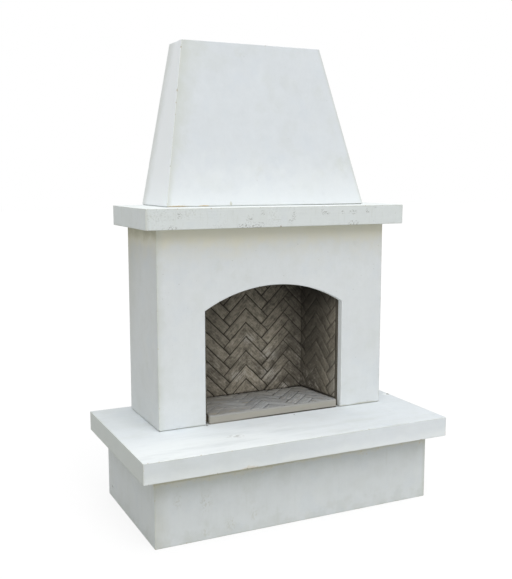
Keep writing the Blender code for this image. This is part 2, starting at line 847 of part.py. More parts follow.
def bore_screw_holes(obj, foot, top):
    radius = SCREW_DIAMETER / 2 + CLEARANCE
    for number, (x, y) in enumerate(screw_places()):
        hole = turned(((0, radius), (top - foot + 2 * OVERRUN, radius)), x, y, foot - OVERRUN)
        cut(obj, f"{obj.name}_hole_{number + 1}", hole)


def make_spark_frame(steel):
    foot = LINER_TOP + CLEARANCE
    top = foot + SCREEN_FRAME_GAUGE
    frame = add("spark_frame", stack_block(*screen_frame_box(), foot, top), steel)
    inside = stack_block(*liner_box(LINER_TOP, 0), foot - OVERRUN, top + OVERRUN)
    cut(frame, "frame_inside", inside)
    bore_screw_holes(frame, foot, top)
    return frame


def bar_lines(low, high):
    """Edges of the square holes between low and high, spread evenly with a bar at each end."""
    count = max(1, int((high - low - SCREEN_BAR) / SCREEN_PITCH))
    pitch = (high - low - SCREEN_BAR) / count
    lines = []
    for number in range(count):
        start = low + SCREEN_BAR + number * pitch
        lines += [start, start + pitch - SCREEN_BAR]
    return lines


def make_spark_screen(steel):
    """A grid of bars over the liner's mouth, with a plain border for the screws."""
    half, front, back = screen_frame_box()
    inner_half, inner_front, inner_back = liner_box(LINER_TOP, 0)
    across = [STACK_X + x for x in (-half, *bar_lines(-inner_half, inner_half), half)]
    deep = [front, *bar_lines(inner_front, inner_back), back]
    foot = LINER_TOP + 2 * CLEARANCE + SCREEN_FRAME_GAUGE
    bm = bmesh.new()
    grid = [[bm.verts.new((x, y, foot)) for y in deep] for x in across]
    for i in range(len(across) - 1):
        for j in range(len(deep) - 1):
            if i % 2 and j % 2:
                continue
            bm.faces.new((grid[i][j], grid[i + 1][j], grid[i + 1][j + 1], grid[i][j + 1]))
    lifted = bmesh.ops.extrude_face_region(bm, geom=bm.faces[:], use_keep_orig=True)["geom"]
    top = [item for item in lifted if isinstance(item, bmesh.types.BMVert)]
    bmesh.ops.translate(bm, verts=top, vec=(0, 0, SCREEN_GAUGE))
    screen = add("spark_screen", bm, steel)
    bore_screw_holes(screen, foot, foot + SCREEN_GAUGE)
    return screen


def make_spark_screws(steel):
    seat = LINER_TOP + 3 * CLEARANCE + SCREEN_FRAME_GAUGE + SCREEN_GAUGE
    shank = SCREEN_FRAME_GAUGE + SCREEN_GAUGE
    profile = (
        (-shank, SCREW_DIAMETER / 2),
        (0, SCREW_DIAMETER / 2),
        (0, SCREW_HEAD_DIAMETER / 2),
        (SCREW_HEAD_HEIGHT / 2, SCREW_HEAD_DIAMETER / 2),
        (SCREW_HEAD_HEIGHT, SCREW_HEAD_DIAMETER / 4),
    )
    for number, (x, y) in enumerate(screw_places()):
        shade_round(add(f"spark_screw_{number + 1}", turned(profile, x, y, seat), steel))


# Dowel pins


def make_pins(joint, half_spacing, y, level, pieces, steel):
    """Two upright pins across a joint, with their holes in the pieces that they pass."""
    radius = PIN_DIAMETER / 2
    reach = PIN_LENGTH / 2
    profile = (
        (-reach, radius - PIN_CHAMFER),
        (PIN_CHAMFER - reach, radius),
        (reach - PIN_CHAMFER, radius),
        (reach, radius - PIN_CHAMFER),
    )
    hole = ((-reach - CLEARANCE, radius + CLEARANCE), (reach + CLEARANCE, radius + CLEARANCE))
    for side, name in ((-1, "left"), (1, "right")):
        x = STACK_X + side * half_spacing
        shade_round(add(f"{joint}_pin_{name}", turned(profile, x, y, level), steel))
        for piece in pieces:
            cut(piece, f"{piece.name}_{joint}_pin_{name}", turned(hole, x, y, level))


def pin_joints(castings, beds, steel):
    pedestal, hearth, surround, mantel, hood = castings
    pedestal_bed, surround_bed, mantel_bed, hood_bed = beds
    walls = SURROUND_WIDTH / 2 - SIDE_WALL / 2
    middle = STACK_BACK - SURROUND_DEPTH / 2
    make_pins(
        "pedestal",
        PEDESTAL_WIDTH / 2 - PEDESTAL_WALL / 2,
        HEARTH_BACK - PEDESTAL_DEPTH / 2,
        PEDESTAL_HEIGHT + JOINT / 2,
        (pedestal, pedestal_bed, hearth),
        steel,
    )
    make_pins("surround", walls, middle, HEARTH_TOP + JOINT / 2, (hearth, surround_bed, surround), steel)
    make_pins("mantel", walls, middle, SURROUND_TOP + JOINT / 2, (surround, mantel_bed, mantel), steel)
    lean = (HOOD_BASE_WIDTH - HOOD_TOP_WIDTH) / 2 / HOOD_HEIGHT
    make_pins(
        "hood",
        HOOD_BASE_WIDTH / 2 - HOOD_WALL / 2 - lean * PIN_LENGTH / 4,
        STACK_BACK - HOOD_BASE_DEPTH / 2,
        MANTEL_TOP + JOINT / 2,
        (mantel, hood_bed, hood),
        steel,
    )


def main():
    for obj in list(bpy.data.objects):
        bpy.data.objects.remove(obj)
    concrete = finish("concrete", (0.63, 0.66, 0.66), 0.85)
    mortar = finish("mortar", (0.42, 0.42, 0.40), 0.95)
    brick = finish("firebrick", (0.13, 0.115, 0.09), 0.9)
    refractory = finish("refractory", (0.34, 0.31, 0.26), 0.92)
    board = finish("insulation_board", (0.55, 0.52, 0.44), 0.95)
    stainless = finish("stainless_steel", (0.55, 0.55, 0.54), 0.4, 1.0)
    galvanised = finish("galvanised_steel", (0.45, 0.46, 0.47), 0.5, 1.0)
    castings = (
        make_pedestal(concrete),
        make_hearth_slab(concrete),
        make_surround(concrete),
        make_mantel(concrete),
        make_chimney_hood(concrete),
    )
    beds = (
        make_pedestal_bed(mortar),
        make_surround_bed(mortar),
        make_mantel_bed(mortar),
        make_hood_bed(mortar),
    )
    make_dome_bed(mortar)
    make_back_panel(brick)
    make_side_panel(-1, "firebox_left", brick)
    make_side_panel(1, "firebox_right", brick)
    make_floor_panel(brick)
    make_insulation(board)
    make_lintel_angle(galvanised)
    make_smoke_dome(refractory)
    make_flue_collar(stainless)
    make_flue_liner(stainless)
    make_spark_frame(stainless)
    make_spark_screen(stainless)
    make_spark_screws(stainless)
    pin_joints(castings, beds, galvanised)


main()
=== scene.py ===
"""Looks of a free-standing precast outdoor fireplace, in metres, on the frame of its solids.

The castings are copies of the solids with worn arrises, the firebox panels are laid brick by brick
in a herringbone, and the flue has its woven spark screen. Materials are procedural and read Object
coordinates, so a mark on the concrete stays at its place on the fireplace.
"""

import math

import bmesh
import bpy
from mathutils import Matrix, Vector


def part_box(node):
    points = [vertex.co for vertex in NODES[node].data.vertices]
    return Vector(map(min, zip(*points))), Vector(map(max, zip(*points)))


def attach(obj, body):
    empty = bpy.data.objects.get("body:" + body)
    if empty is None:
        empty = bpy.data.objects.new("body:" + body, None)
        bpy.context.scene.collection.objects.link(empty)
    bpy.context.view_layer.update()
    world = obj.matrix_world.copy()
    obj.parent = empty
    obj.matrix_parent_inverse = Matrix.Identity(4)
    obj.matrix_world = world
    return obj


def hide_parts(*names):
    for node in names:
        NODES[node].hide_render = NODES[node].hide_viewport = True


bl_info = {
    "name": "Precast Fireplace Looks",
    "version": (1, 0, 0),
    "blender": (4, 5, 0),
    "location": "3D View > Sidebar > Fireplace",
    "description": "Dresses a precast fireplace in worn concrete, firebrick and flue steel",
    "category": "Object",
}

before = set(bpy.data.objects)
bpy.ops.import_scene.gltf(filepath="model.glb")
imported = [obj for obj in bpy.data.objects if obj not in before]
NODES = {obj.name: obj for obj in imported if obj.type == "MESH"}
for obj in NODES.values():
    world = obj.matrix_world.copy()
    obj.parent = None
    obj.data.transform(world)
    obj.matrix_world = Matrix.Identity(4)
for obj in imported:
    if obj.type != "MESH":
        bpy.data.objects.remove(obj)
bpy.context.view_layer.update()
BODY = "root"
TINY = 0.00001


def sides(node):
    """A node's least and greatest x, y and z."""
    return [corner[axis] for axis in range(3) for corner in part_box(node)]


HOOD_LEFT, HOOD_RIGHT, HOOD_FRONT, HOOD_BACK, HOOD_FOOT, HOOD_TOP = sides("chimney_hood")
MANTEL_LEFT, _, MANTEL_FRONT, _, MANTEL_FOOT, MANTEL_TOP = sides("mantel")
BODY_LEFT, BODY_RIGHT, FACE, STACK_BACK, SURROUND_FOOT, SURROUND_TOP = sides("surround")
_, HEARTH_RIGHT, HEARTH_FRONT, _, HEARTH_FOOT, HEARTH_TOP = sides("hearth_slab")
PEDESTAL_LEFT, PEDESTAL_RIGHT, PEDESTAL_FRONT, _, GROUND, PEDESTAL_TOP = sides("pedestal")
FLOOR_LEVEL = sides("firebox_floor")[5]
FIREBACK = sides("firebox_back")[2]
STACK_X = (BODY_LEFT + BODY_RIGHT) / 2
HOOD_LEAN_IN = 0.175
# Level of the painted shadow line under the slab
SHADOW_LINE_LEVEL = 0.340
ARCH_CROWN = 1.27

ARRIS_ANGLE = 0.2
FIRST_SEED, SEED_STEP = 11, 7
GRID_END = 0.4999
GRID_ALONG, GRID_OVER = 15, 6
FOOT_SPREAD, EDGE_DROP = 0.04, 0.7
SPARE_COURSES = 3
BACK_APEX_LEFT = 0.011
SIDE_APEX_REAR, SIDE_APEX_DROP = 0.017, 0.0257
LIP, LIP_RADIUS = 0.018, 0.008
SCREW_SHANK, SCREW_HEAD = 0.0064, 0.003
SCREEN_HOLD, WINDOW_FRONT, WINDOW_BACK = 0.004, 0.022, 0.012
WIRE_STEPS = 4

FLOOR_REACH = 40.0
FLOOR_GLOW = 0.8
PHOTO_HEIGHT = 579
PHOTO_FOCUS = 826.65
CAMERA_PLACE = (-2.0131, -4.0637, 1.8394)
CAMERA_YAW, CAMERA_PITCH = 25.6395, -7.8114
WHITE = (1.0, 1.0, 1.0, 1.0)


# Settings


def linear(*shades):
    """A colour as a shader takes it, from the 0 to 255 values that a screen shows."""
    shares = [shade / 255 for shade in shades]
    return tuple(s / 12.92 if s <= 0.04045 else ((s + 0.055) / 1.055) ** 2.4 for s in shares)


def colour_setting(name, description, *shades):
    return bpy.props.FloatVectorProperty(
        name=name, description=description, subtype="COLOR", min=0, max=1, default=linear(*shades)
    )


def length_setting(name, description, default):
    return bpy.props.FloatProperty(
        name=name, description=description, subtype="DISTANCE", unit="LENGTH", min=0,
        default=default,
    )


def share_setting(name, description, default):
    return bpy.props.FloatProperty(
        name=name, description=description, subtype="FACTOR", min=0, default=default
    )


class FireplaceConcrete(bpy.types.PropertyGroup):
    """Colours and wear of the castings."""

    concrete: colour_setting("Concrete", "Clean cast face", 214, 218, 220)
    # Dirt and weathering, also painted shade on side faces, the hearth's front and under the slab
    dirt_and_shade_tint: colour_setting("Weathered tint", "Tint that sheltered faces take on", 186, 190, 178)
    ochre: colour_setting("Ochre", "Iron stain at the joints", 196, 164, 100)
    # Scuffs and pits, also painted shade on the hearth top inside the firebox opening
    scuff_and_shade: colour_setting("Scuff", "Grey rub marks and pits", 132, 133, 126)
    groove: colour_setting("Dark crack", "Dirt in open joints and holes", 72, 72, 62)
    broken: colour_setting("Broken face", "Sand and cement in a chip", 190, 184, 168)
    # Pale wash, also painted light on the jambs, the mantel's ends and the right of the hearth's
    # front
    washed_and_lit: colour_setting("Bleached", "Face that sun and rain have cleaned", 236, 240, 240)
    cool: colour_setting("Cool tint", "Blue-grey of denser paste", 198, 207, 216)
    # Painted light: makes the hood's sides almost white
    painted_side_light: colour_setting("Sunlit", "The hood's weather side, washed almost white", 242, 246, 248)
    # Painted shade: the warm tint of the shade under the mantel and under the slab
    shadowed: colour_setting("Sheltered", "Warm pale face that rain never washes", 232, 226, 198)
    # Also the olive tint of painted shade on the body's sides, under the mantel and towards the
    # back
    olive: colour_setting("Olive", "Growth where the rain doesn't reach", 172, 170, 148)
    # Painted shadow: the olive-tinted dark line just under the slab
    under_slab_shadow: colour_setting("Drip line", "Olive stain under the slab's overhang", 184, 178, 146)
    arris_olive: colour_setting("Olive arris", "Weathering beside an arris", 196, 200, 192)
    mortar: colour_setting("Mortar", "Bed joints", 120, 119, 110)
    chip_spacing: length_setting("Chip spacing", "Distance between possible chips", 0.10)
    chip_small: length_setting("Smallest chip", "Radius of the smallest chip", 0.0015)
    chip_large: length_setting("Largest chip", "Radius of the largest chip", 0.005)
    chip_share: share_setting("Chip share", "Share of the possible chips that are there", 0.22)


class FireplaceBrick(bpy.types.PropertyGroup):
    """Sizes and colours of the herringbone panels."""

    length: length_setting("Brick length", "From joint middle to joint middle", 0.2064)
    width: length_setting("Brick width", "From joint middle to joint middle", 0.0603)
    joint: length_setting("Joint", "Width of a groove at the brick faces", 0.0046)
    relief: length_setting("Relief", "Depth of the grooves", 0.0035)
    softness: length_setting("Softness", "Width of a brick's rounded edge", 0.0026)
    wobble: length_setting("Wobble", "How far cast edges stray", 0.0016)
    clay: colour_setting("Clay", "Firebrick colour", 146, 139, 125)
    pale: colour_setting("Pale patches", "Ash-bleached brick", 196, 192, 184)
    # Soot, also the painted shadow line at the foot of the floor's lip
    soot: colour_setting("Soot", "Sooty brick", 50, 47, 42)
    groove: colour_setting("Groove", "Sooty joint", 62, 58, 51)
    # Ash, also the painted highlight along the top of the floor's lip
    ash: colour_setting("Ash", "Ash rubbed into the floor", 142, 144, 145)
    lip: colour_setting("Lip", "Cast lip in front of the floor's bricks", 160, 157, 148)


class FireplaceSteel(bpy.types.PropertyGroup):
    """Sizes and colours of the flue and its screen."""

    wire: length_setting("Wire", "Diameter of the screen's wires", 0.0012)
    mesh: length_setting("Mesh", "Distance between the screen's wires", 0.0125)
    stainless: colour_setting("Stainless steel", "Flue sheet", 190, 188, 184)
    galvanised: colour_setting("Galvanised steel", "Lintel and pins", 176, 180, 183)
    heat: colour_setting("Heat tint", "Straw and brown of heated steel", 150, 118, 84)


class FireplaceStage(bpy.types.PropertyGroup):
    """Light level and floor of the studio."""

    floor: colour_setting("Floor", "Colour of the light that the floor throws back", 188, 188, 186)
    sky: share_setting("Sky", "Even light from all round", 0.45)
    top_light: share_setting("Top light", "Soft light from overhead", 0.92)
    key_light: share_setting("Key light", "Soft light from high before the fireplace", 1.40)
    fill_light: share_setting("Fill light", "Soft light from before and left", 0.55)


def settings(group):
    return getattr(bpy.context.scene, f"fireplace_{group}")


# Node trees


def by_math(operation, swapped=False):
    """A method of Value that adds one Math node, with its two numbers in order or swapped."""

    def method(self, other=0.0):
        return self.tree.math(operation, *((other, self) if swapped else (self, other)))

    return method


class Value:
    """An output of a node. Arithmetic on it adds Math nodes to its tree."""

    def __init__(self, tree, socket):
        self.tree = tree
        self.socket = socket

    __add__ = __radd__ = by_math("ADD")
    __sub__ = by_math("SUBTRACT")
    __rsub__ = by_math("SUBTRACT", swapped=True)
    __mul__ = __rmul__ = by_math("MULTIPLY")
    __truediv__ = by_math("DIVIDE")
    __mod__ = by_math("FLOORED_MODULO")
    __gt__ = by_math("GREATER_THAN")
    __lt__ = by_math("LESS_THAN")
    __abs__ = by_math("ABSOLUTE")
    least = by_math("MINIMUM")
    most = by_math("MAXIMUM")

    def rise(self, low, high):
        """0 below low, 1 above high and smooth between them. It falls where high is below low."""
        sockets = {"Value": self, "From Min": low, "From Max": high}
        return self.tree.node("ShaderNodeMapRange", sockets, interpolation_type="SMOOTHSTEP")

    def also(self, label):
        """Another output of the same node."""
        return Value(self.tree, self.socket.node.outputs[label])

    def parts(self):
        """A vector's x, y and z."""
        x = self.tree.node("ShaderNodeSeparateXYZ", {0: self})
        return x, x.also("Y"), x.also("Z")


class Tree:
    """A node tree, and the one way in which nodes are added to it."""

    def __init__(self, tree):
        self.tree = tree

    def node(self, kind, sockets=None, output=0, **options):
        """Adds a node: its options first, then the values or links of its sockets."""
        made = self.tree.nodes.new(kind)
        for name, option in options.items():
            setattr(made, name, option)
        for key, given in (sockets or {}).items():
            self.feed(made.inputs[key], given)
        return Value(self, made.outputs[output]) if made.outputs else made

    def feed(self, socket, given):
        if isinstance(given, Value):
            self.tree.links.new(given.socket, socket)
        else:
            socket.default_value = given

    def math(self, operation, first, second=0.0):
        return self.node("ShaderNodeMath", {0: first, 1: second}, operation=operation)

    def vector(self, operation, first, second, output=0):
        return self.node("ShaderNodeVectorMath", {0: first, 1: second}, output, operation=operation)

    def scaled(self, vector, factor):
        return self.node("ShaderNodeVectorMath", {0: vector, "Scale": factor}, operation="SCALE")

    def join(self, x=0.0, y=0.0, z=0.0):
        return self.node("ShaderNodeCombineXYZ", {0: x, 1: y, 2: z})


def rgba(colour):
    return colour if isinstance(colour, Value) else (*colour[:3], 1.0)


def toned(colour, share):
    return tuple(part * share for part in colour)


class Finish(Tree):
    """A material whose patterns are laid out in metres on Object coordinates."""

    def __init__(self, name, gloss):
        self.material = bpy.data.materials.new(name)
        self.material.use_nodes = True
        super().__init__(self.material.node_tree)
        self.shader = self.tree.nodes["Principled BSDF"].inputs
        self.shader["Specular IOR Level"].default_value = gloss
        self.place = self.node("ShaderNodeTexCoord", output="Object")
        self.x, self.y, self.z = self.place.parts()
        self.ragged = self.clouds(0.012, 3, 0.65) * 1.2
        self.crumbled = self.clouds(0.0035, 3, 0.7) * 2.6

    def base(self, colour, tone):
        """Starts with a colour made lighter or darker by a tone around 1."""
        self.colour = self.scaled(tuple(colour), tone)

    def tint(self, mask, strength, colour):
        self.colour = self.node(
            "ShaderNodeMix", {0: mask * strength, 6: rgba(self.colour), 7: rgba(colour)}, 2,
            data_type="RGBA", blend_type="MIX", clamp_factor=True,
        )

    def laid(self, size, stretch=(1, 1, 1)):
        """Object coordinates in units of a pattern's size, drawn out along the axes."""
        scale = tuple(1 / (size * along) for along in stretch)
        return self.node("ShaderNodeMapping", {"Vector": self.place, "Scale": scale})

    def noise(self, vector, detail, roughness, distortion=0.0):
        """Noise from -0.5 to 0.5."""
        sockets = {"Scale": 1.0, "Detail": detail, "Roughness": roughness, "Distortion": distortion}
        return self.node("ShaderNodeTexNoise", {"Vector": vector, **sockets}) - 0.5

    def clouds(self, size, detail=3, roughness=0.55, stretch=(1, 1, 1), distortion=0.0):
        """Noise whose largest features are about that size."""
        return self.noise(self.laid(size, stretch), detail, roughness, distortion)

    def cells(self, size):
        sockets = {"Vector": self.laid(size), "Scale": 1.0}
        return self.node("ShaderNodeTexVoronoi", sockets, feature="F1")

    def pits(self, spacing, radius, share):
        """Round holes of up to that radius in a share of the cells of a loose grid."""
        cell = self.cells(spacing)
        size, luck, _ = cell.also("Color").parts()
        reach = size * (radius / spacing) * (luck < share)
        return (cell / (reach + TINY)).rise(1.0, 0.55)

    def spot(self, centre, radius, stretch=(1, 1, 1), soft=0.6):
        """1 at a place on the fireplace, falling to 0 at about the radius, with a ragged edge."""
        away = self.vector("SUBTRACT", self.place, centre)
        away = self.vector("DIVIDE", away, tuple(radius * along for along in stretch))
        reach = self.node("ShaderNodeVectorMath", {0: away}, "Value", operation="LENGTH")
        return (reach + (self.crumbled if radius < 0.015 else self.ragged)).rise(1.0, 1.0 - soft)

    def done(self, roughness, height=None, metallic=0.0):
        if height:
            sockets = {"Strength": 1.0, "Distance": 1.0, "Height": height}
            self.feed(self.shader["Normal"], self.node("ShaderNodeBump", sockets))
        self.feed(self.shader["Base Color"], self.colour)
        self.feed(self.shader["Roughness"], roughness)
        self.feed(self.shader["Metallic"], metallic)
        return self.material


class Pattern(Tree):
    """A geometry node group that makes a mesh. Its inputs are named after their kinds."""

    def __init__(self, name, **inputs):
        group = bpy.data.node_groups.new(name, "GeometryNodeTree")
        group.interface.new_socket("Geometry", in_out="OUTPUT", socket_type="NodeSocketGeometry")
        for kind, labels in {"Geometry": "Geometry", **inputs}.items():
            for label in labels.split(", "):
                group.interface.new_socket(label, in_out="INPUT", socket_type=f"NodeSocket{kind}")
        super().__init__(group)
        self.entry = self.node("NodeGroupInput")
        self.index = self.node("GeometryNodeInputIndex")
        self.position = self.node("GeometryNodeInputPosition")

    def __getitem__(self, label):
        return self.entry.also(label)

    def random(self, low, high, seed):
        sockets = {2: low, 3: high, "ID": self.index, "Seed": seed}
        return self.node("FunctionNodeRandomValue", sockets, 1, data_type="FLOAT")

    def points(self, count, across, up):
        return self.node("GeometryNodePoints", {"Count": count, "Position": self.join(across, up)})

    def moved(self, geometry, **sockets):
        return self.node("GeometryNodeSetPosition", {"Geometry": geometry, **sockets})

    def set_out(self, points, shape, **sockets):
        """A copy of a shape at each point."""
        sockets = {"Points": points, "Instance": shape, **sockets}
        return self.node("GeometryNodeInstanceOnPoints", sockets)

    def real(self, instances):
        return self.node("GeometryNodeRealizeInstances", {0: instances})

    def together(self, *geometries):
        joined = self.node("GeometryNodeJoinGeometry")
        for geometry in geometries:
            self.feed(joined.socket.node.inputs[0], geometry)
        return joined

    def stored(self, geometry, name, value, domain="POINT", kind="FLOAT"):
        sockets = {"Geometry": geometry, "Name": name, "Value": value}
        return self.node("GeometryNodeStoreNamedAttribute", sockets, data_type=kind, domain=domain)

    def smooth(self, geometry):
        return self.node("GeometryNodeSetShadeSmooth", {"Geometry": geometry, "Shade Smooth": True})

    def painted(self, instances, material):
        sockets = {"Geometry": self.real(instances), "Material": material}
        return self.node("GeometryNodeSetMaterial", sockets)

    def finished(self, geometry):
        self.node("NodeGroupOutput", {0: geometry})
        return self.tree


# Meshes and objects


def opened(mesh):
    shape = bmesh.new()
    shape.from_mesh(mesh)
    return shape


def closed(shape, mesh):
    """Writes a shape that was opened or made back to a mesh."""
    shape.to_mesh(mesh)
    shape.free()
    return mesh


def in_scene(name, data):
    made = bpy.data.objects.new(name, data)
    bpy.context.scene.collection.objects.link(made)
    return made


def made_by(group, name, looks, values, mesh=None):
    """A plain mesh object that a node group makes from values, or else settings, by its names."""
    made = in_scene(name, mesh or bpy.data.meshes.new(name))
    modifier = made.modifiers.new(group.name, "NODES")
    modifier.node_group = group
    for item in group.interface.items_tree:
        setting = item.name.lower().replace(" ", "_")
        if item.name in values or hasattr(looks, setting):
            given = values[item.name] if item.name in values else getattr(looks, setting)
            modifier[item.identifier] = given
    graph = bpy.context.evaluated_depsgraph_get()
    result = bpy.data.meshes.new_from_object(made.evaluated_get(graph), depsgraph=graph)
    made.modifiers.clear()
    made.data = result
    result.name = name
    if not result.polygons:
        raise RuntimeError(f"{group.name} made no faces for {name}")
    return made


def dressed(piece, slot, *nodes):
    """Attaches a finished piece to the body, and hides the solids that it stands for."""
    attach(piece, BODY)
    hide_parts(*nodes)


def repaint(material, *nodes):
    for node in nodes:
        NODES[node].data.materials.clear()
        NODES[node].data.materials.append(material)


# Concrete


class Concrete(Finish):
    """Cast concrete: cloudy, streaked by rain or the trowel, pitted and dirty at its arrises."""

    def __init__(self, casting, looks, hue, streak, streaking):
        super().__init__(f"{casting}_concrete", 0.25)
        across, deep, upward = self.node("ShaderNodeNewGeometry", output="Normal").parts()
        self.side = abs(across).rise(0.6, 0.8)
        self.front = deep.rise(-0.6, -0.8)
        self.top = upward.rise(0.6, 0.8)
        self.broad = self.clouds(0.5, 2)
        self.mottle = self.clouds(0.09, 5, 0.6)
        self.blotch = self.clouds(0.03, 4, 0.65)
        self.grain = self.clouds(0.0035, 3, 0.7)
        self.streaks = self.clouds(0.008, 4, 0.6, streak)
        self.holes = self.pits(0.028, 0.0026, 0.16)
        tone = 1 + self.broad * 0.08 + self.mottle * 0.10 + self.blotch * 0.05 + self.grain * 0.06
        hues = (part * share for part, share in zip(looks.concrete, hue))
        self.base(hues, tone + self.streaks * streaking * 2)
        dirty = self.edge_distance(casting) + self.mottle * 0.02 + self.blotch * 0.012
        self.tint(dirty.rise(0.010, 0.0), 0.35, looks.dirt_and_shade_tint)
        self.tint(self.clouds(0.22, 5, 0.7).rise(0.08, 0.30), 0.30, looks.dirt_and_shade_tint)
        drift = self.clouds(0.13, 3, 0.5)
        self.tint(drift.rise(0.02, 0.20), 0.15, looks.cool)
        self.tint(drift.rise(-0.02, -0.20), 0.10, looks.dirt_and_shade_tint)
        self.tint(self.holes, 0.6, looks.scuff_and_shade)

    def edge_distance(self, casting):
        """Distance on a box's faces to the nearest of its arrises."""
        low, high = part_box(casting)
        places = (self.x, self.y, self.z)
        a, b, c = ((at - low[i]).least(high[i] - at) for i, at in enumerate(places))
        return a.least(b).most(a.most(b).least(c))

    def below(self, level, depth, waver=0.10):
        """1 just under a level, falling to 0 at a depth below it."""
        return (level - self.z + self.mottle * waver).rise(depth, 0.0)

    def above(self, level, height, waver=0.10):
        return (self.z - level + self.mottle * waver).rise(height, 0.0)

    def left_end(self, left, width, waver=0.05):
        """1 at the left end of the front, falling to 0 at a width from it."""
        return (self.x - left + self.mottle * waver).rise(width, 0.0) * self.front

    def finished(self):
        height = self.mottle * 0.0006 + self.blotch * 0.0004 + self.grain * 0.0003
        height = height + self.streaks * 0.0003 - self.holes * 0.0016
        return self.done(0.82 + self.grain * 0.2, height)


def hood_concrete(looks):
    """The hood is paler at its foot, painted light on its sides, and olive by its front arris."""
    cast = Concrete("chimney_hood", looks, (0.955, 0.965, 0.98), (1, 1, 20), 0.012)
    # Painted light: the sides are made almost white
    cast.tint(cast.side, 1.0, looks.painted_side_light)
    cast.tint(cast.above(HOOD_FOOT, 0.34, 0.6) * cast.front, 0.34, looks.washed_and_lit)
    height = (cast.z - HOOD_FOOT) / (HOOD_TOP - HOOD_FOOT)
    lean = height * HOOD_LEAN_IN
    for reach, strength in ((0.090, 0.60), (0.025, 0.30)):
        band = (cast.x - HOOD_LEFT - lean) / (height * reach + 0.016) + cast.mottle * 2
        cast.tint(band.rise(1.9, -0.3) * cast.front, strength, looks.arris_olive)
    right = (HOOD_RIGHT - lean - cast.x).rise(0.02, 0.0)
    cast.tint(right * cast.front, 0.5, looks.arris_olive)
    rear = (cast.y + cast.mottle * 0.1).rise(HOOD_BACK - 0.12, HOOD_BACK)
    cast.tint(rear * cast.side, 0.35, looks.dirt_and_shade_tint)
    y, z = HOOD_FRONT, HOOD_FOOT
    cast.tint(cast.spot((-0.50, y, z), 0.06, (1.2, 1, 0.10)), 0.75, looks.ochre)
    cast.tint(cast.spot((-0.355, y, z), 0.030, (1.2, 1, 0.25)), 0.75, looks.ochre)
    cast.tint(cast.spot((-0.199, y, z + 0.010), 0.012, (0.8, 1, 1.3)), 0.6, looks.olive)
    return cast.finished()


MANTEL_SCUFFS = (
    (-0.595, 1.578, 0.007, 2), (-0.555, 1.640, 0.008, 1), (-0.200, 1.579, 0.008, 2),
    (-0.165, 1.610, 0.010, 1), (-0.130, 1.583, 0.009, 3), (-0.087, 1.648, 0.007, 1),
    (0.080, 1.600, 0.007, 1), (0.100, 1.632, 0.014, 0.5), (0.277, 1.648, 0.007, 1),
    (0.300, 1.637, 0.006, 2), (0.405, 1.645, 0.006, 1), (0.470, 1.642, 0.007, 2),
    (0.477, 1.580, 0.009, 2), (0.565, 1.645, 0.007, 1),
)  # x, z, radius and how far each is drawn out along the mantel


def mantel_concrete(looks):
    """The mantel is trowelled along its length, and things that stood on it scuffed its front."""
    cast = Concrete("mantel", looks, (1.0, 1.012, 0.985), (25, 1, 1), 0.035)
    cast.tint(cast.left_end(MANTEL_LEFT, 0.022, 0.02), 0.55, looks.arris_olive)
    upright = cast.clouds(0.010, 3, 0.55, (1, 1, 9))
    cast.tint(upright.rise(0.06, 0.26) * (1 - cast.top), 0.18, looks.dirt_and_shade_tint)
    cast.tint(cast.top, 0.5, looks.washed_and_lit)
    cast.tint(cast.above(MANTEL_FOOT, 0.010, 0.0) * cast.front, 0.4, looks.washed_and_lit)
    flecks = cast.clouds(0.0075, 4, 0.7, (1.4, 1, 1)).rise(0.0, 0.10)
    for x, z, radius, along in MANTEL_SCUFFS:
        spot = cast.spot((x, MANTEL_FRONT, z), radius * 2.4, (along, 1, 1), 0.4)
        cast.tint(spot * flecks, 0.60, looks.scuff_and_shade)
    worn = (cast.broad + cast.mottle).rise(0.02, 0.25) * cast.front
    cast.tint(worn * cast.blotch.rise(0.0, 0.2), 0.30, looks.dirt_and_shade_tint)
    cast.tint(worn * flecks, 0.22, looks.scuff_and_shade)
    # Painted light on the ends
    cast.tint(cast.side, 0.15, looks.washed_and_lit)
    drawn = cast.clouds(0.016, 4, 0.7, (4, 1, 1)).rise(0.10, 0.24)
    cast.tint(drawn * cast.front * cast.below(MANTEL_TOP, 0.06, 0.3), 0.35, looks.scuff_and_shade)
    return cast.finished()


def surround_concrete(looks):
    """Painted shade under the mantel and on the body's sides, and painted light in its jambs."""
    cast = Concrete("surround", looks, (1.0, 1.0, 0.992), (1, 1, 14), 0.018)
    # Painted shade on the side faces
    cast.tint(cast.side, 0.12, looks.dirt_and_shade_tint)
    # Painted shade under the mantel, in a warm tint
    cast.tint(cast.below(SURROUND_TOP, 0.24, 0.3), 0.28, looks.shadowed)
    cast.tint(cast.below(SURROUND_TOP - 0.03, 0.09), 0.45, looks.shadowed)
    # Painted shade in olive on the sides, under the mantel and towards their back
    cast.tint(cast.below(SURROUND_TOP, 0.08) * cast.side, 0.80, looks.olive)
    back_side_shade = (cast.y + (cast.z - SURROUND_TOP) * 0.4).rise(0.05, STACK_BACK)
    cast.tint(back_side_shade * cast.side, 0.35, looks.olive)
    # Painted light in the jambs of the opening
    opening = abs(cast.x - STACK_X).rise(0.47, 0.45) * (cast.z < ARCH_CROWN) * (cast.y < 0.1)
    cast.tint(opening * (1 - cast.front), 0.9, toned(looks.washed_and_lit, 1.08))
    cast.tint(cast.left_end(BODY_LEFT, 0.045), 0.40, looks.arris_olive)
    foot = cast.above(SURROUND_FOOT, 0.012, 0.02) * cast.x.rise(0.30, 0.45)
    cast.tint(foot, 0.5, looks.olive)
    cast.tint(cast.spot((BODY_LEFT, FACE, SURROUND_FOOT), 0.009), 0.9, looks.scuff_and_shade)
    return cast.finished()


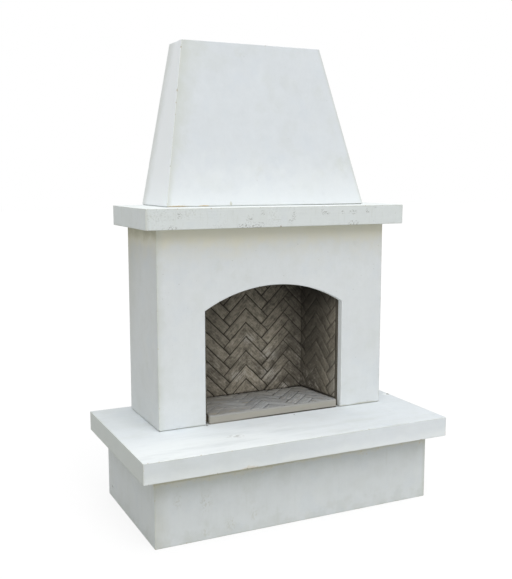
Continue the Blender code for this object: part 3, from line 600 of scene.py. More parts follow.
def hearth_concrete(looks):
    """The slab is brightest where feet and brooms go, and grained along its edges."""
    cast = Concrete("hearth_slab", looks, (0.99, 1.005, 1.02), (40, 1, 1), 0.022)
    along = cast.clouds(0.07, 5, 0.60, (4.5, 1, 1), 0.3)
    near = (cast.y + cast.broad * 0.2).rise(0.02, HEARTH_FRONT + 0.1)
    swept = near * cast.x.rise(0.60, -0.4) * cast.top
    cast.tint(swept * along.rise(-0.40, 0.12), 0.68, looks.washed_and_lit)
    cast.tint(along.rise(0.05, -0.25) * cast.top, 0.14, looks.dirt_and_shade_tint)
    rear = cast.x.rise(-0.60, -0.75) * cast.y.rise(-0.12, 0.15) * cast.top
    cast.tint(rear, 0.10, looks.dirt_and_shade_tint)
    # Painted shade on the sides
    cast.tint(cast.side, 0.50, looks.dirt_and_shade_tint)
    cast.tint(cast.above(HEARTH_FOOT, 0.06) * cast.front, 0.45, looks.washed_and_lit)
    stains = cast.clouds(0.030, 5, 0.7, (2, 1, 1)).rise(0.10, 0.24)
    cast.tint(stains * cast.z.rise(HEARTH_FOOT + 0.05, HEARTH_FOOT), 0.30, looks.ochre)
    z = HEARTH_TOP
    cast.tint(cast.spot((-0.300, -0.285, z), 0.034, (1.6, 1, 1)), 0.35, looks.washed_and_lit)
    smudge = cast.spot((-0.316, -0.289, z), 0.040, (1.6, 1, 1), 0.9) * cast.blotch.rise(-0.04, 0.10)
    cast.tint(smudge, 0.42, looks.scuff_and_shade)
    cast.tint(cast.spot((0.862, 0.066, z), 0.032), 0.8, looks.washed_and_lit)
    for x, y, radius in ((0.140, -0.078, 0.006), (-0.382, -0.056, 0.009), (0.873, 0.066, 0.014)):
        cast.tint(cast.spot((x, y, z), radius), 0.9, looks.groove)
    rust = cast.spot((-0.330, HEARTH_FRONT, HEARTH_FOOT), 0.040, (1.6, 1, 0.35))
    cast.tint(rust, 0.3, looks.ochre)
    # Painted shade on the left of the front, and painted light on its right
    cast.tint(cast.front * cast.x.rise(0.5, -0.3), 0.16, looks.dirt_and_shade_tint)
    cast.tint(cast.front * cast.x.rise(-0.2, 0.6), 0.15, looks.washed_and_lit)
    # Painted shade on the top inside the opening, under and beside the firebox floor
    lip = cast.y.rise(FACE + 0.004, FACE + 0.010) * abs(cast.x - STACK_X).rise(0.43, 0.42)
    cast.tint(lip * cast.top * (cast.y < FIREBACK), 0.5, looks.scuff_and_shade)
    return cast.finished()


PEDESTAL_SPOTS = (
    (-0.66, 0.235, 0.020), (-0.51, 0.200, 0.030), (-0.37, 0.060, 0.022), (-0.51, 0.040, 0.016),
    (-0.24, 0.090, 0.018),
)  # x, z and radius


def pedestal_concrete(looks):
    """Painted shade and an olive painted shadow line lie under the slab, with ochre stains and
    runs.
    """
    cast = Concrete("pedestal", looks, (0.995, 1.0, 0.985), (1.5, 1.5, 20), 0.018)
    # Painted shade on the side faces
    cast.tint(cast.side, 0.10, looks.dirt_and_shade_tint)
    leftward = cast.x.rise(0.60, -0.40)
    # Painted shade under the slab, stronger to the left
    shaded = cast.below(PEDESTAL_TOP, 0.20, 0.15) * (leftward * 0.6 + 0.4)
    cast.tint(shaded, 0.40, looks.dirt_and_shade_tint)
    # Warm tint painted into the shade under the slab
    cast.tint(cast.below(SHADOW_LINE_LEVEL, 0.03), 0.30, looks.shadowed)
    # Painted shadow: an olive-tinted dark line just under the slab
    under_slab_shadow = (cast.z + cast.blotch * 0.02).rise(SHADOW_LINE_LEVEL - 0.012, SHADOW_LINE_LEVEL - 0.002)
    cast.tint(under_slab_shadow * (leftward * 0.7 + 0.3), 0.55, looks.under_slab_shadow)
    stains = cast.clouds(0.020, 5, 0.7).rise(0.08, 0.20) * cast.below(SHADOW_LINE_LEVEL, 0.06)
    cast.tint(stains, 0.5, looks.ochre)
    runs = cast.clouds(0.018, 4, 0.6, (1, 1, 12)).rise(0.06, 0.24)
    cast.tint(runs, 0.13, looks.dirt_and_shade_tint)
    flecks = cast.clouds(0.010, 4, 0.7, (1, 1, 1.5)).rise(-0.02, 0.10)
    for x, z, radius in PEDESTAL_SPOTS:
        spot = cast.spot((x, PEDESTAL_FRONT, z), radius * 1.7, (1, 1, 1.4), 0.8)
        cast.tint(spot * flecks, 0.30, looks.olive)
    cast.tint(cast.above(GROUND, 0.07, 0.5), 0.14, looks.dirt_and_shade_tint)
    cast.tint(cast.left_end(PEDESTAL_LEFT, 0.10), 0.26, looks.olive)
    right = cast.x.rise(PEDESTAL_RIGHT - 0.03, PEDESTAL_RIGHT)
    cast.tint(right * cast.front, 0.4, looks.dirt_and_shade_tint)
    return cast.finished()


def plain_concrete(name, tint):
    """Mortar, refractory and broken concrete."""
    cast = Finish(name, 0.2)
    mottle = cast.clouds(0.05, 5, 0.65)
    grain = cast.clouds(0.004, 3, 0.75)
    cast.base(tint, 1 + mottle * 0.22 + grain * 0.35)
    return cast.done(0.9, mottle * 0.0012 + grain * 0.0014)


def hood_mortar(looks):
    """Bed under the hood: clean and pale at the left of the front, olive to black at its right."""
    bed = Finish("hood_mortar", 0.2)
    grain = bed.clouds(0.004, 3, 0.75)
    bed.colour = looks.washed_and_lit
    bed.tint((bed.x + bed.ragged * 0.1).rise(0.0, 0.55), 1.0, linear(58, 58, 44))
    bed.tint(bed.x.rise(HOOD_LEFT + 0.02, HOOD_LEFT), 0.4, looks.mortar)
    bed.tint(grain.rise(0.05, 0.3), 0.3, looks.mortar)
    return bed.done(0.9, grain * 0.001)


def worn_arrises():
    """Cuts chips out of the arrises of a casting, at random and at known places."""
    p = Pattern(
        "Worn arrises", Float="Chip Spacing, Chip Small, Chip Large, Chip Share", Int="Seed",
        Material="Broken Face", Object="Known Chips",
    )
    casting, seed, spacing = p["Geometry"], p["Seed"], p["Chip Spacing"]
    angle = p.node("GeometryNodeInputMeshEdgeAngle", output="Signed Angle")
    arrises = {"Mesh": casting, "Selection": angle > ARRIS_ANGLE}
    lines = p.node("GeometryNodeMeshToCurve", arrises)
    points = p.node("GeometryNodeCurveToPoints", {"Curve": lines, "Length": spacing}, mode="LENGTH")
    slip = p.scaled(points.also("Tangent"), p.random(-0.5, 0.5, seed) * spacing)
    points = p.moved(points, Offset=slip)
    absent = p.random(0.0, 1.0, seed + 1) > p["Chip Share"]
    points = p.node("GeometryNodeDeleteGeometry", {0: points, 1: absent}, domain="POINT")
    size = p.random(0.0, 1.0, seed + 2)
    size = size * size * (p["Chip Large"] - p["Chip Small"]) + p["Chip Small"]
    known = p.node("GeometryNodeObjectInfo", {"Object": p["Known Chips"]}, "Geometry")
    reach = p.node("GeometryNodeInputNamedAttribute", {"Name": "reach"}, data_type="FLOAT")
    chips = []
    for place, scale in ((points, size), (known, reach)):
        turn = p.join(*[p.random(0.0, 6.28, seed + 3 + axis) for axis in range(3)])
        squash = p.join(scale, scale * 0.75, scale * 0.6)
        chips.append(p.set_out(place, chip_shape(p), Rotation=turn, Scale=squash))
    cutters = p.painted(p.together(*chips), p["Broken Face"])
    return p.finished(
        p.node(
            "GeometryNodeMeshBoolean",
            {"Mesh 1": casting, "Mesh 2": cutters, "Self Intersection": True},
            operation="DIFFERENCE", solver="EXACT",
        )
    )


def chip_shape(p):
    """A lump of unit radius with an uneven skin."""
    ball = p.node("GeometryNodeMeshIcoSphere", {"Radius": 1.0, "Subdivisions": 2})
    noise = p.node("ShaderNodeTexNoise", {"Vector": p.position, "Scale": 1.3, "Detail": 2.0})
    return p.moved(ball, Offset=p.scaled(p.position, (noise - 0.5) * 1.1))


CASTINGS = {
    "pedestal": (pedestal_concrete, (PEDESTAL_LEFT, PEDESTAL_FRONT, 0.004, 0.006)),
    "hearth_slab": (
        hearth_concrete,
        (HEARTH_RIGHT, 0.066, HEARTH_TOP, 0.007),
        (-0.345, HEARTH_FRONT, HEARTH_FOOT, 0.006),
    ),
    "surround": (surround_concrete, (BODY_LEFT, FACE, 0.58, 0.003)),
    "mantel": (mantel_concrete, (0.02, MANTEL_FRONT, MANTEL_FOOT, 0.008)),
    "chimney_hood": (
        hood_concrete, (-0.4449, 0.1757, 2.293, 0.008), (-0.3990, 0.2335, 2.527, 0.007)
    ),
}  # the finish and the known chips of each: x, y, z and radius


def chip_points(name, chips):
    """Vertices at known chips."""
    mesh = bpy.data.meshes.new(name)
    mesh.from_pydata([chip[:3] for chip in chips], [], [])
    reach = mesh.attributes.new("reach", "FLOAT", "POINT")
    reach.data.foreach_set("value", [chip[3] for chip in chips])
    return in_scene(name, mesh)


def whole_copy(node):
    """A solid's mesh with its triangles joined."""
    shape = opened(NODES[node].data)
    bmesh.ops.remove_doubles(shape, verts=shape.verts, dist=TINY)
    mesh = closed(shape, bpy.data.meshes.new(f"worn_{node}"))
    mesh.shade_flat()
    return mesh


class FIREPLACE_OT_castings(bpy.types.Operator):
    """Dresses the five castings in concrete with worn arrises, and lays the mortar between them"""

    bl_idname = "fireplace.castings"
    bl_label = "Castings and Mortar"

    def execute(self, context):
        looks = settings("concrete")
        wear = worn_arrises()
        broken = plain_concrete("broken_concrete", looks.broken)
        for number, (casting, (finish, *chips)) in enumerate(CASTINGS.items()):
            mesh = whole_copy(casting)
            mesh.materials.append(finish(looks))
            known = chip_points(f"chips_of_{casting}", chips)
            seed = FIRST_SEED + SEED_STEP * number
            values = {"Seed": seed, "Broken Face": broken, "Known Chips": known}
            piece = made_by(wear, f"worn_{casting}", looks, values, mesh)
            bpy.data.objects.remove(known)
            dressed(piece, "concrete", casting)
        mortar = plain_concrete("bed_mortar", looks.mortar)
        repaint(mortar, "pedestal_bed", "mantel_bed", "dome_bed")
        repaint(plain_concrete("washed_mortar", looks.dirt_and_shade_tint), "surround_bed")
        repaint(hood_mortar(looks), "hood_bed")
        return {"FINISHED"}


# Firebox


def herringbone():
    """Bricks of a herringbone whose middle column is mitred into chevrons.

    X runs across, Y up and Z out of the wall, and the brick faces lie at zero. The bricks are laid
    from joint middles: a brick takes a step of its length over root two to the side, and a course
    rises by its width times root two.
    """
    p = Pattern(
        "Herringbone", Float="Length, Width, Joint, Relief, Softness, Wobble",
        Int="Columns, Courses, First Course, Seed", Material="Brick",
    )
    columns, courses, first = p["Columns"], p["Courses"], p["First Course"]
    run = p["Length"] / math.sqrt(2)
    rise = p["Width"] / math.sqrt(2)
    hand = 1 - (p.index % 2) * 2
    turn = p.math("FLOOR", p.index / 2)
    column = turn % columns + 1
    course = p.math("FLOOR", turn / columns) + first
    climbing = column % 2
    across = (run * (column + 0.5) - rise * 0.5) * hand
    level = rise * (course * 2 - climbing - 0.5) - run * 0.5
    places = p.points(columns * courses * 2, across, level)
    angle = (climbing * 2 - 1) * hand * math.radians(45)
    bricks = p.set_out(places, plain_brick(p), Rotation=p.join(0.0, 0.0, angle))
    chevrons = p.set_out(p.points(courses, 0.0, rise * 2 * (p.index + first)), chevron(p))
    tones = [
        p.stored(instances, "tone", p.random(0.0, 1.0, p["Seed"] + shift), "INSTANCE")
        for shift, instances in ((0, bricks), (50, chevrons))
    ]
    laid = p.moved(p.real(p.together(*tones)), Offset=strayed_by(p))
    return p.finished(p.painted(p.smooth(laid), p["Brick"]))


def strayed_by(p):
    """Cast edges that wander a little, and faces that aren't quite flat."""
    sizes = {"Scale": 28.0, "Detail": 2.0}, {"Scale": 90.0, "Detail": 1.0}
    slow, quick = (
        p.node("ShaderNodeTexNoise", {"Vector": p.position, **size}, "Color") for size in sizes
    )
    drift = p.vector("SUBTRACT", p.vector("ADD", slow, quick), (1.0, 1.0, 1.0))
    return p.scaled(drift, p["Wobble"])


def brick_block(p):
    """A block of unit plan whose top is at zero and whose foot is under the groove floor."""
    depth = p["Relief"] * 2
    counts = {"Vertices X": GRID_ALONG, "Vertices Y": GRID_OVER, "Vertices Z": 2}
    block = p.node("GeometryNodeMeshCube", {"Size": p.join(1.0, 1.0, depth), **counts})
    return p.moved(block, Offset=p.join(0.0, 0.0, depth * -0.5))


def eased(share, count, soft):
    """Moves the lines of a grid next to its ends to a soft edge's width from them."""
    line = share * ((0.5 - soft) / (0.5 - 1 / (count - 1)))
    return line + (share - line) * (abs(share) > GRID_END)


def noted(p, block, edge, local):
    """Stores a point's place on its brick, and 1 if it is in the joint or 0 if on the face."""
    return p.stored(p.stored(block, "edge", edge), "laid", local, kind="FLOAT_VECTOR")


def plain_brick(p):
    length = p["Length"] - p["Joint"]
    width = p["Width"] - p["Joint"]
    soft = p["Softness"]
    x, y, z = p.position.parts()
    along = eased(x, GRID_ALONG, soft / length) * length
    over = eased(y, GRID_OVER, soft / width) * width
    border = (abs(x) > GRID_END).most(abs(y) > GRID_END)
    top = z > p["Relief"] * -1
    spread = 1 + (1 - top) * FOOT_SPREAD
    place = p.join(along * spread, over * spread, z - border * top * soft * EDGE_DROP)
    block = noted(p, brick_block(p), border.most(1 - top), p.join(along, over))
    return p.moved(block, Position=place)


def chevron(p):
    """Two mitred bricks that meet on the centre line without a joint, apex at the origin."""
    joint = p["Joint"] * 0.5
    length, width, soft = p["Length"], p["Width"], p["Softness"]
    x, y, z = p.position.parts()
    over = joint + (eased(y, GRID_OVER, soft / width) + 0.5) * (width - joint * 2)
    line = (x - 0.5) * ((1 - soft / length) / (1 - 1 / (GRID_ALONG - 1))) + 0.5
    outer = x > GRID_END
    line = (line + (x - line) * outer.most(x < -GRID_END)).most(-0.5)
    along = over + (line + 0.5) * (length - joint - over)
    border = outer.most(abs(y) > GRID_END)
    top = z > p["Relief"] * -1
    sunk = z - border * top * soft * EDGE_DROP
    place = p.join((along - over) / math.sqrt(2), (along + over) / -math.sqrt(2), sunk)
    block, edge = brick_block(p), border.most(1 - top)
    half, other = (
        p.moved(noted(p, block, edge, p.join(start, over)), Position=place)
        for start in (along, along + length * 2)
    )
    mirrored = p.node("GeometryNodeTransform", {"Geometry": other, "Scale": (-1.0, 1.0, 1.0)})
    both = p.together(half, p.node("GeometryNodeFlipFaces", {0: mirrored}))
    middle = abs(x) < TINY
    both = p.node("GeometryNodeDeleteGeometry", {0: both, 1: middle}, domain="FACE")
    return p.node("GeometryNodeMergeByDistance", {"Geometry": both, "Distance": TINY})


class Firebrick(Finish):
    """Cast brick: each has a tone and a grain of its own, and is dark where it rounds off."""

    def __init__(self, name, looks, clay, contrast=1.0):
        super().__init__(name, 0.2)
        self.looks = looks
        own = self.attribute("tone")
        self.edge = self.attribute("edge")
        local = self.attribute("laid", "Vector")
        shifted = self.vector("ADD", local, self.join(own * 7, own * 3))
        drawn = self.vector("MULTIPLY", shifted, (1 / 0.060, 1 / 0.009, 1.0))
        self.drag = self.noise(drawn, 4, 0.62)
        self.mottle = self.clouds(0.045, 5, 0.66, distortion=0.5)
        self.blotch = self.clouds(0.014, 4, 0.7)
        self.grain = self.clouds(0.003, 3, 0.75)
        uneven = self.mottle * 0.8 + self.blotch * 0.35 + self.grain * 0.30 + self.drag * 1.1
        uneven = self.clouds(0.22, 3) * 0.5 + uneven
        self.base(clay, 1 + (own - 0.5) * 0.30 + uneven * contrast)

    def attribute(self, name, output="Fac"):
        return self.node("ShaderNodeAttribute", output=output, attribute_name=name)

    def patchy(self, low, high):
        """A ragged mask: the low and the high bound move its edge."""
        return (self.mottle + self.blotch * 0.7 + self.drag * 0.6).rise(low, high)

    def smeared(self, size, high):
        """Soot that has run together into smears of about that size."""
        return self.clouds(size, 5, 0.7, distortion=0.6).rise(0.0, high)

    def marked(self, tint, strength, *marks):
        """Ragged patches of a tint at x, y and z, each with a radius."""
        for *place, radius in marks:
            patch = self.spot(place, radius, (1.5, 1.5, 1), 0.9)
            ragged = (self.mottle * 0.6 + self.drag * 1.3).rise(-0.20, 0.20)
            self.tint(patch * ragged, strength, tint)

    def finished(self, joint=0.6):
        holes = self.pits(0.011, 0.0024, 0.35)
        self.tint(holes, 0.5, self.looks.soot)
        clean = 1 - self.patchy(0.05, 0.35) * 0.6
        edge = (self.edge + self.blotch * 0.8).rise(0.30, 1.0)
        self.tint(edge * clean, joint, self.looks.groove)
        height = self.mottle * 0.0012 + self.blotch * 0.0008 + self.grain * 0.0006 - holes * 0.0012
        return self.done(0.88 + self.grain * 0.15, height)


def back_brick(looks):
    """Taupe brick, sooty near its top and its right end, with ash rubbed into its lower half."""
    brick = Firebrick("back_firebrick", looks, looks.clay)
    x, z = brick.x, brick.z
    brick.tint(z.rise(1.02, 1.25) * brick.patchy(0.35, -0.20), 0.48, looks.soot)
    brick.tint((x + brick.mottle * 0.20).rise(0.15, 0.38), 0.48, looks.soot)
    brick.tint(brick.smeared(0.07, 0.10) * (x.rise(-0.10, 0.22) * 0.7 + 0.3), 0.45, looks.soot)
    brick.tint(x.rise(0.05, -0.35), 0.25, looks.soot)
    brick.tint(x.rise(-0.10, -0.35) * z.rise(0.95, 0.70), 0.22, looks.soot)
    brick.tint(brick.patchy(0.10, -0.30), 0.45, looks.soot)
    brick.tint(brick.patchy(0.0, 0.35) * z.rise(1.05, 0.70), 0.38, looks.pale)
    y = FIREBACK
    brick.marked(
        looks.pale, 0.70, (0.180, y, 0.775, 0.055), (0.190, y, 0.650, 0.065),
        (-0.020, y, 0.660, 0.050), (0.040, y, 0.880, 0.045), (0.287, y, 0.569, 0.030),
    )
    brick.marked(
        looks.soot, 0.65, (0.285, y, 0.610, 0.040), (0.153, y, 1.113, 0.040),
        (-0.113, y, 1.100, 0.040), (0.250, y, 0.760, 0.040), (0.120, y, 0.565, 0.040),
        (-0.300, y, 0.570, 0.040),
    )
    brick.edge = brick.edge * (x.rise(0.42, 0.20) * 0.7 + 0.3)
    return brick.finished()


def side_brick(looks):
    """Sooty brick, darkest at the rear above the fire, with ash low down at the rear."""
    brick = Firebrick("side_firebrick", looks, looks.clay, 0.6)
    y, z = brick.y, brick.z
    brick.tint(brick.patchy(0.4, -0.4), 0.40, looks.soot)
    brick.tint(brick.smeared(0.06, 0.12), 0.30, looks.soot)
    behind = (y + brick.mottle * 0.12).rise(0.0, 0.13)
    above = (z + brick.mottle * 0.2).rise(0.60, 0.82) * 0.6 + 0.3
    brick.tint(behind * above, 0.42, looks.soot)
    scratches = (brick.drag + brick.blotch * 1.5).rise(0.20, 0.42) * z.rise(1.15, 0.75)
    brick.tint(scratches * y.rise(0.02, 0.16), 0.55, looks.pale)
    brick.tint(z.rise(0.95, 1.20), 0.60, looks.soot)
    brick.tint(y.rise(0.02, 0.20), 0.35, looks.soot)
    low = z.rise(0.72, 0.60) * y.rise(0.10, 0.22)
    brick.tint(low * brick.patchy(-0.05, 0.30), 0.55, looks.pale)
    brick.tint(z.rise(0.82, 0.64) * y.rise(0.06, 0.0), 0.22, looks.pale)
    brick.marked(looks.soot, 0.9, (0.41, 0.225, 0.615, 0.014), (0.41, 0.205, 0.600, 0.012))
    brick.tint(z.rise(FLOOR_LEVEL + 0.014, FLOOR_LEVEL + 0.004), 0.8, looks.soot)
    brick.edge = brick.edge * ((y + brick.mottle * 0.1).rise(0.14, 0.04) * 0.8 + 0.2)
    return brick.finished(0.7)


def floor_brick(looks):
    """Brick grey with ash, its joints filled with ash over the left half."""
    brick = Firebrick("floor_firebrick", looks, looks.ash, 0.30)
    x, y = brick.x, brick.y
    drawn = brick.clouds(0.034, 5, 0.68, (4, 1, 1), 0.4)
    swept = drawn * x.rise(0.15, -0.15) + brick.drag * x.rise(-0.15, 0.15)
    brick.tint(swept.rise(0.0, 0.18), 0.64, looks.pale)
    brick.tint(swept.rise(0.0, -0.18), 0.80, looks.clay)
    brick.tint((x + brick.mottle * 0.3).rise(0.0, -0.35), 0.30, looks.clay)
    brick.tint(y.rise(0.12, FIREBACK), 0.40, looks.clay)
    rear = (y + brick.mottle * 0.03).rise(FIREBACK - 0.05, FIREBACK)
    brick.tint(rear * brick.patchy(-0.1, 0.1), 0.6, looks.soot)
    brick.edge = brick.edge * (x.rise(-0.20, 0.16) * 0.65 + 0.35)
    return brick.finished(0.8)


def lip_finish(looks):
    """Smooth cast lip, with a painted highlight along its top edge and a painted shadow at its
    foot.
    """
    lip = Finish("floor_lip", 0.25)
    mottle = lip.clouds(0.03, 4, 0.55, (3, 1, 1))
    grain = lip.clouds(0.003, 3, 0.75)
    lip.base(looks.lip, 1 + mottle * 0.20 + grain * 0.15)
    # Painted highlight along the top edge, in the ash colour
    lip.tint(lip.z.rise(FLOOR_LEVEL - 0.012, FLOOR_LEVEL - 0.002), 0.6, looks.ash)
    # Painted shadow line at the foot, in the soot colour, stronger to the right
    joint = (lip.z + mottle * 0.004).rise(HEARTH_TOP + 0.009, HEARTH_TOP + 0.006)
    lip.tint(joint * (lip.x.rise(-0.42, 0.1) * 0.6 + 0.3), 1.0, looks.soot)
    return lip.done(0.8 + grain * 0.2, mottle * 0.0006 + grain * 0.0004)


def groove_finish(name, tint, soot=None):
    """Mortar in the grooves, darker above and behind the fire where a soot colour is given."""
    groove = Finish(name, 0.15)
    mottle = groove.clouds(0.03, 4, 0.7)
    grain = groove.clouds(0.003, 3, 0.75)
    groove.base(tint, 1 + mottle * 0.5 + grain * 0.5)
    if soot:
        behind = groove.y.rise(0.04, 0.20) * groove.z.rise(0.64, 0.86) * 0.75
        groove.tint(behind.most(groove.z.rise(0.95, 1.20) * 0.6), 1.0, soot)
    return groove.done(0.95, grain * 0.001)


def cleared(shape, planes):
    """Cuts closed bodies back to the inside of planes, and closes the cuts.

    A plane is a point and a direction that points away from what stays.
    """
    for point, out in planes:
        parts = shape.verts[:] + shape.edges[:] + shape.faces[:]
        cut = bmesh.ops.bisect_plane(
            shape, geom=parts, plane_co=point, plane_no=out, clear_outer=True
        )
        rim = [item for item in cut["geom_cut"] if isinstance(item, bmesh.types.BMEdge)]
        bmesh.ops.holes_fill(shape, edges=[edge for edge in rim if edge.is_boundary])


def backing(node, face_point, face_out, relief):
    """The part of a panel behind its grooves: the hull of the solid's points that lie that deep."""
    shape = bmesh.new()
    for vertex in NODES[node].data.vertices:
        if (vertex.co - face_point).dot(face_out) < -relief / 2:
            shape.verts.new(vertex.co)
    bmesh.ops.remove_doubles(shape, verts=shape.verts, dist=TINY)
    hull = bmesh.ops.convex_hull(shape, input=shape.verts)
    bmesh.ops.delete(shape, geom=hull["geom_interior"], context="VERTS")
    return shape


class Panel:
    """Where a herringbone panel stands: a chevron's apex in its brick face, and three directions.

    Its bricks reach that far to either side of the apex and that high above it, and are cut back
    to its planes.
    """

    def __init__(self, node, apex, across, up, planes, reach, height):
        self.node = node
        self.apex = Vector(apex)
        self.across = Vector(across).normalized()
        self.up = Vector(up)
        self.out = self.across.cross(self.up)
        self.planes = planes
        self.reach = reach
        self.height = height

    def placed(self):
        turn = Matrix((self.across, self.up, self.out)).transposed().to_4x4()
        return Matrix.Translation(self.apex) @ turn


def foot_corners(node):
    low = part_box(node)[0]
    return [v.co for v in NODES[node].data.vertices if v.co.z < low.z + TINY]


def side_panel(side, relief):
    node = f"firebox_{side}"
    right = side == "right"
    low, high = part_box(node)
    ends = []
    for y in (high.y, low.y):
        end = [corner for corner in foot_corners(node) if abs(corner.y - y) < TINY]
        ends.append(min(end, key=lambda corner: abs(corner.x - STACK_X)))
    along = (ends[1] - ends[0]).normalized()
    inward = Vector((along.y, -along.x, 0)) * (1 if right else -1)
    back, front = (Vector((end.x, end.y, FLOOR_LEVEL)) + inward * relief for end in ends)
    planes = ((low, (0, -1, 0)), (high, (0, 1, 0)), (back, (0, 0, -1)), (high, (0, 0, 1)))
    apex = (back + front) / 2 - (front - back).normalized() * SIDE_APEX_REAR
    apex.z -= SIDE_APEX_DROP
    reach = (front - back).length / 2 + SIDE_APEX_REAR
    across = front - back if right else back - front
    height = high.z - FLOOR_LEVEL + SIDE_APEX_DROP
    return Panel(node, apex, across, (0, 0, 1), planes, reach, height)


def back_panel():
    low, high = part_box("firebox_back")
    foot = (0, 0, FLOOR_LEVEL)
    planes = ((low, (-1, 0, 0)), (high, (1, 0, 0)), (foot, (0, 0, -1)), (high, (0, 0, 1)))
    apex = (STACK_X - BACK_APEX_LEFT, low.y, FLOOR_LEVEL)
    reach = (high.x - low.x) / 2 + BACK_APEX_LEFT
    return Panel("firebox_back", apex, (1, 0, 0), (0, 0, 1), planes, reach, high.z - FLOOR_LEVEL)


def floor_panel():
    node = "firebox_floor"
    low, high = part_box(node)
    rim = foot_corners(node)
    front = max((corner for corner in rim if corner.y < low.y + TINY), key=lambda corner: corner.x)
    back = max((corner for corner in rim if corner.y > high.y - TINY), key=lambda corner: corner.x)
    run = back - front
    planes = (
        ((0, low.y + LIP, 0), (0, -1, 0)),
        (high, (0, 1, 0)),
        (front, (run.y, -run.x, 0)),
        ((2 * STACK_X - front.x, front.y, front.z), (-run.y, -run.x, 0)),
    )
    apex = (STACK_X, low.y, high.z)
    return Panel(node, apex, (1, 0, 0), (0, 1, 0), planes, high.x - STACK_X, high.y - low.y)


def floor_lip():
    """The smooth bar along the front of the floor, rounded at its top and at its ends."""
    low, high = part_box("firebox_floor")
    front = [v.co.x for v in NODES["firebox_floor"].data.vertices if v.co.y < low.y + TINY]
    left, right = min(front), max(front)
    middle = Vector(((left + right) / 2, low.y + LIP / 2, (low.z + high.z) / 2))
    size = Matrix.Diagonal((right - left, LIP, high.z - low.z, 1))
    shape = bmesh.new()
    bmesh.ops.create_cube(shape, matrix=Matrix.Translation(middle) @ size)

    def rounded(chosen):
        edges = [edge for edge in shape.edges if chosen(*(vertex.co for vertex in edge.verts))]
        bmesh.ops.bevel(
            shape, geom=edges, offset=LIP_RADIUS, segments=5, profile=0.5, affect="EDGES"
        )

    rounded(lambda a, b: abs(a.z - b.z) > TINY and a.y < middle.y)
    rounded(lambda a, b: min(a.z, b.z) > high.z - TINY)
    return shape


def add_to(piece, shape, *materials):
    """Adds a shape to a piece, in materials of its own."""
    for face in shape.faces:
        face.material_index += len(piece.data.materials)
    for material in materials:
        piece.data.materials.append(material)
    extra = closed(shape, bpy.data.meshes.new("extra"))
    joined = opened(piece.data)
    joined.from_mesh(extra)
    closed(joined, piece.data)
    bpy.data.meshes.remove(extra)


def lay_panel(panel, group, looks, brick, groove, rim, seed):
    """Lays a panel's bricks, trims them to its outline and sets them on its backing."""
    run = looks.length / math.sqrt(2)
    course = looks.width * math.sqrt(2)
    values = {
        "Columns": math.ceil(panel.reach / run),
        "Courses": math.ceil((panel.height + run) / course) + SPARE_COURSES,
        "First Course": -1,
        "Seed": seed,
        "Brick": brick,
    }
    piece = made_by(group, f"herringbone_{panel.node.split('_')[1]}", looks, values)
    piece.data.transform(panel.placed())
    shape = opened(piece.data)
    cleared(shape, panel.planes)
    closed(shape, piece.data)
    back = backing(panel.node, panel.apex, panel.out, looks.relief)
    if panel.node == "firebox_floor":
        cleared(back, panel.planes[:1])
    back.normal_update()
    for face in back.faces:
        face.material_index = 0 if face.normal.dot(panel.out) > 0.9 else 1
    add_to(piece, back, groove, rim)
    dressed(piece, "firebrick", panel.node)
    return piece


class FIREPLACE_OT_firebox(bpy.types.Operator):
    """Lays the herringbone brick of the firebox's back, sides and floor"""

    bl_idname = "fireplace.firebox"
    bl_label = "Firebox"

    def execute(self, context):
        looks = settings("brick")
        group = herringbone()
        rim = plain_concrete("panel_rim", looks.clay)
        # The right panel's front rim is dark
        sooty_rim = plain_concrete("sooty_rim", toned(looks.clay, 0.30))
        groove = groove_finish("sooty_groove", looks.groove)
        # The side grooves are lighter, partly dust and partly painted light that evens out their
        # shade
        side_groove = groove_finish("dusty_groove", toned(looks.clay, 0.55), looks.soot)
        floor_groove = groove_finish("ashy_groove", looks.ash)
        side = side_brick(looks)
        left, right = (side_panel(name, looks.relief) for name in ("left", "right"))
        lay_panel(back_panel(), group, looks, back_brick(looks), groove, rim, 3)
        lay_panel(left, group, looks, side, side_groove, rim, 4)
        lay_panel(right, group, looks, side, side_groove, sooty_rim, 5)
        floor = lay_panel(floor_panel(), group, looks, floor_brick(looks), floor_groove, rim, 6)
        add_to(floor, floor_lip(), lip_finish(looks))
        return {"FINISHED"}


# Smoke dome, insulation and flue


def board_finish(name, tint, stain):
    """Pressed fibre board: matted, dimpled by its press and stained by damp from its foot up."""
    board = Finish(name, 0.2)
    fibres = board.clouds(0.006, 5, 0.75, (5, 5, 1), 0.6)
    mottle = board.clouds(0.12, 5, 0.6)
    dimples = board.pits(0.014, 0.0045, 0.9)
    board.base(tint, 1 + fibres * 0.30 + mottle * 0.18)
    board.tint(dimples, 0.35, stain)
    board.tint((board.z + mottle * 0.35).rise(HEARTH_TOP + 0.12, HEARTH_TOP), 0.55, stain)
    return board.done(0.95, fibres * 0.0010 - dimples * 0.0012)


def steel_finish(name, tint, heat=None):
    """Rolled sheet with a fine grain, straw to brown where the smoke has heated it."""
    sheet = Finish(name, 0.5)
    grain = sheet.clouds(0.0015, 3, 0.6, (1, 1, 60))
    mottle = sheet.clouds(0.05, 4)
    sheet.base(tint, 1 + grain * 0.10 + mottle * 0.08)
    if heat:
        sheet.tint((mottle + 0.25).rise(0.0, 0.5), 0.6, heat)
    return sheet.done(0.38 + grain * 0.15 + mottle * 0.2, grain * 0.0001, 0.95)


def galvanised_finish(name, tint):
    """Zinc whose spangles differ in shade."""
    zinc = Finish(name, 0.5)
    shade = zinc.cells(0.012).also("Color").parts()[0] - 0.5
    zinc.base(tint, 1 + shade * 0.22)
    return zinc.done(0.45 + shade * 0.2, metallic=0.9)


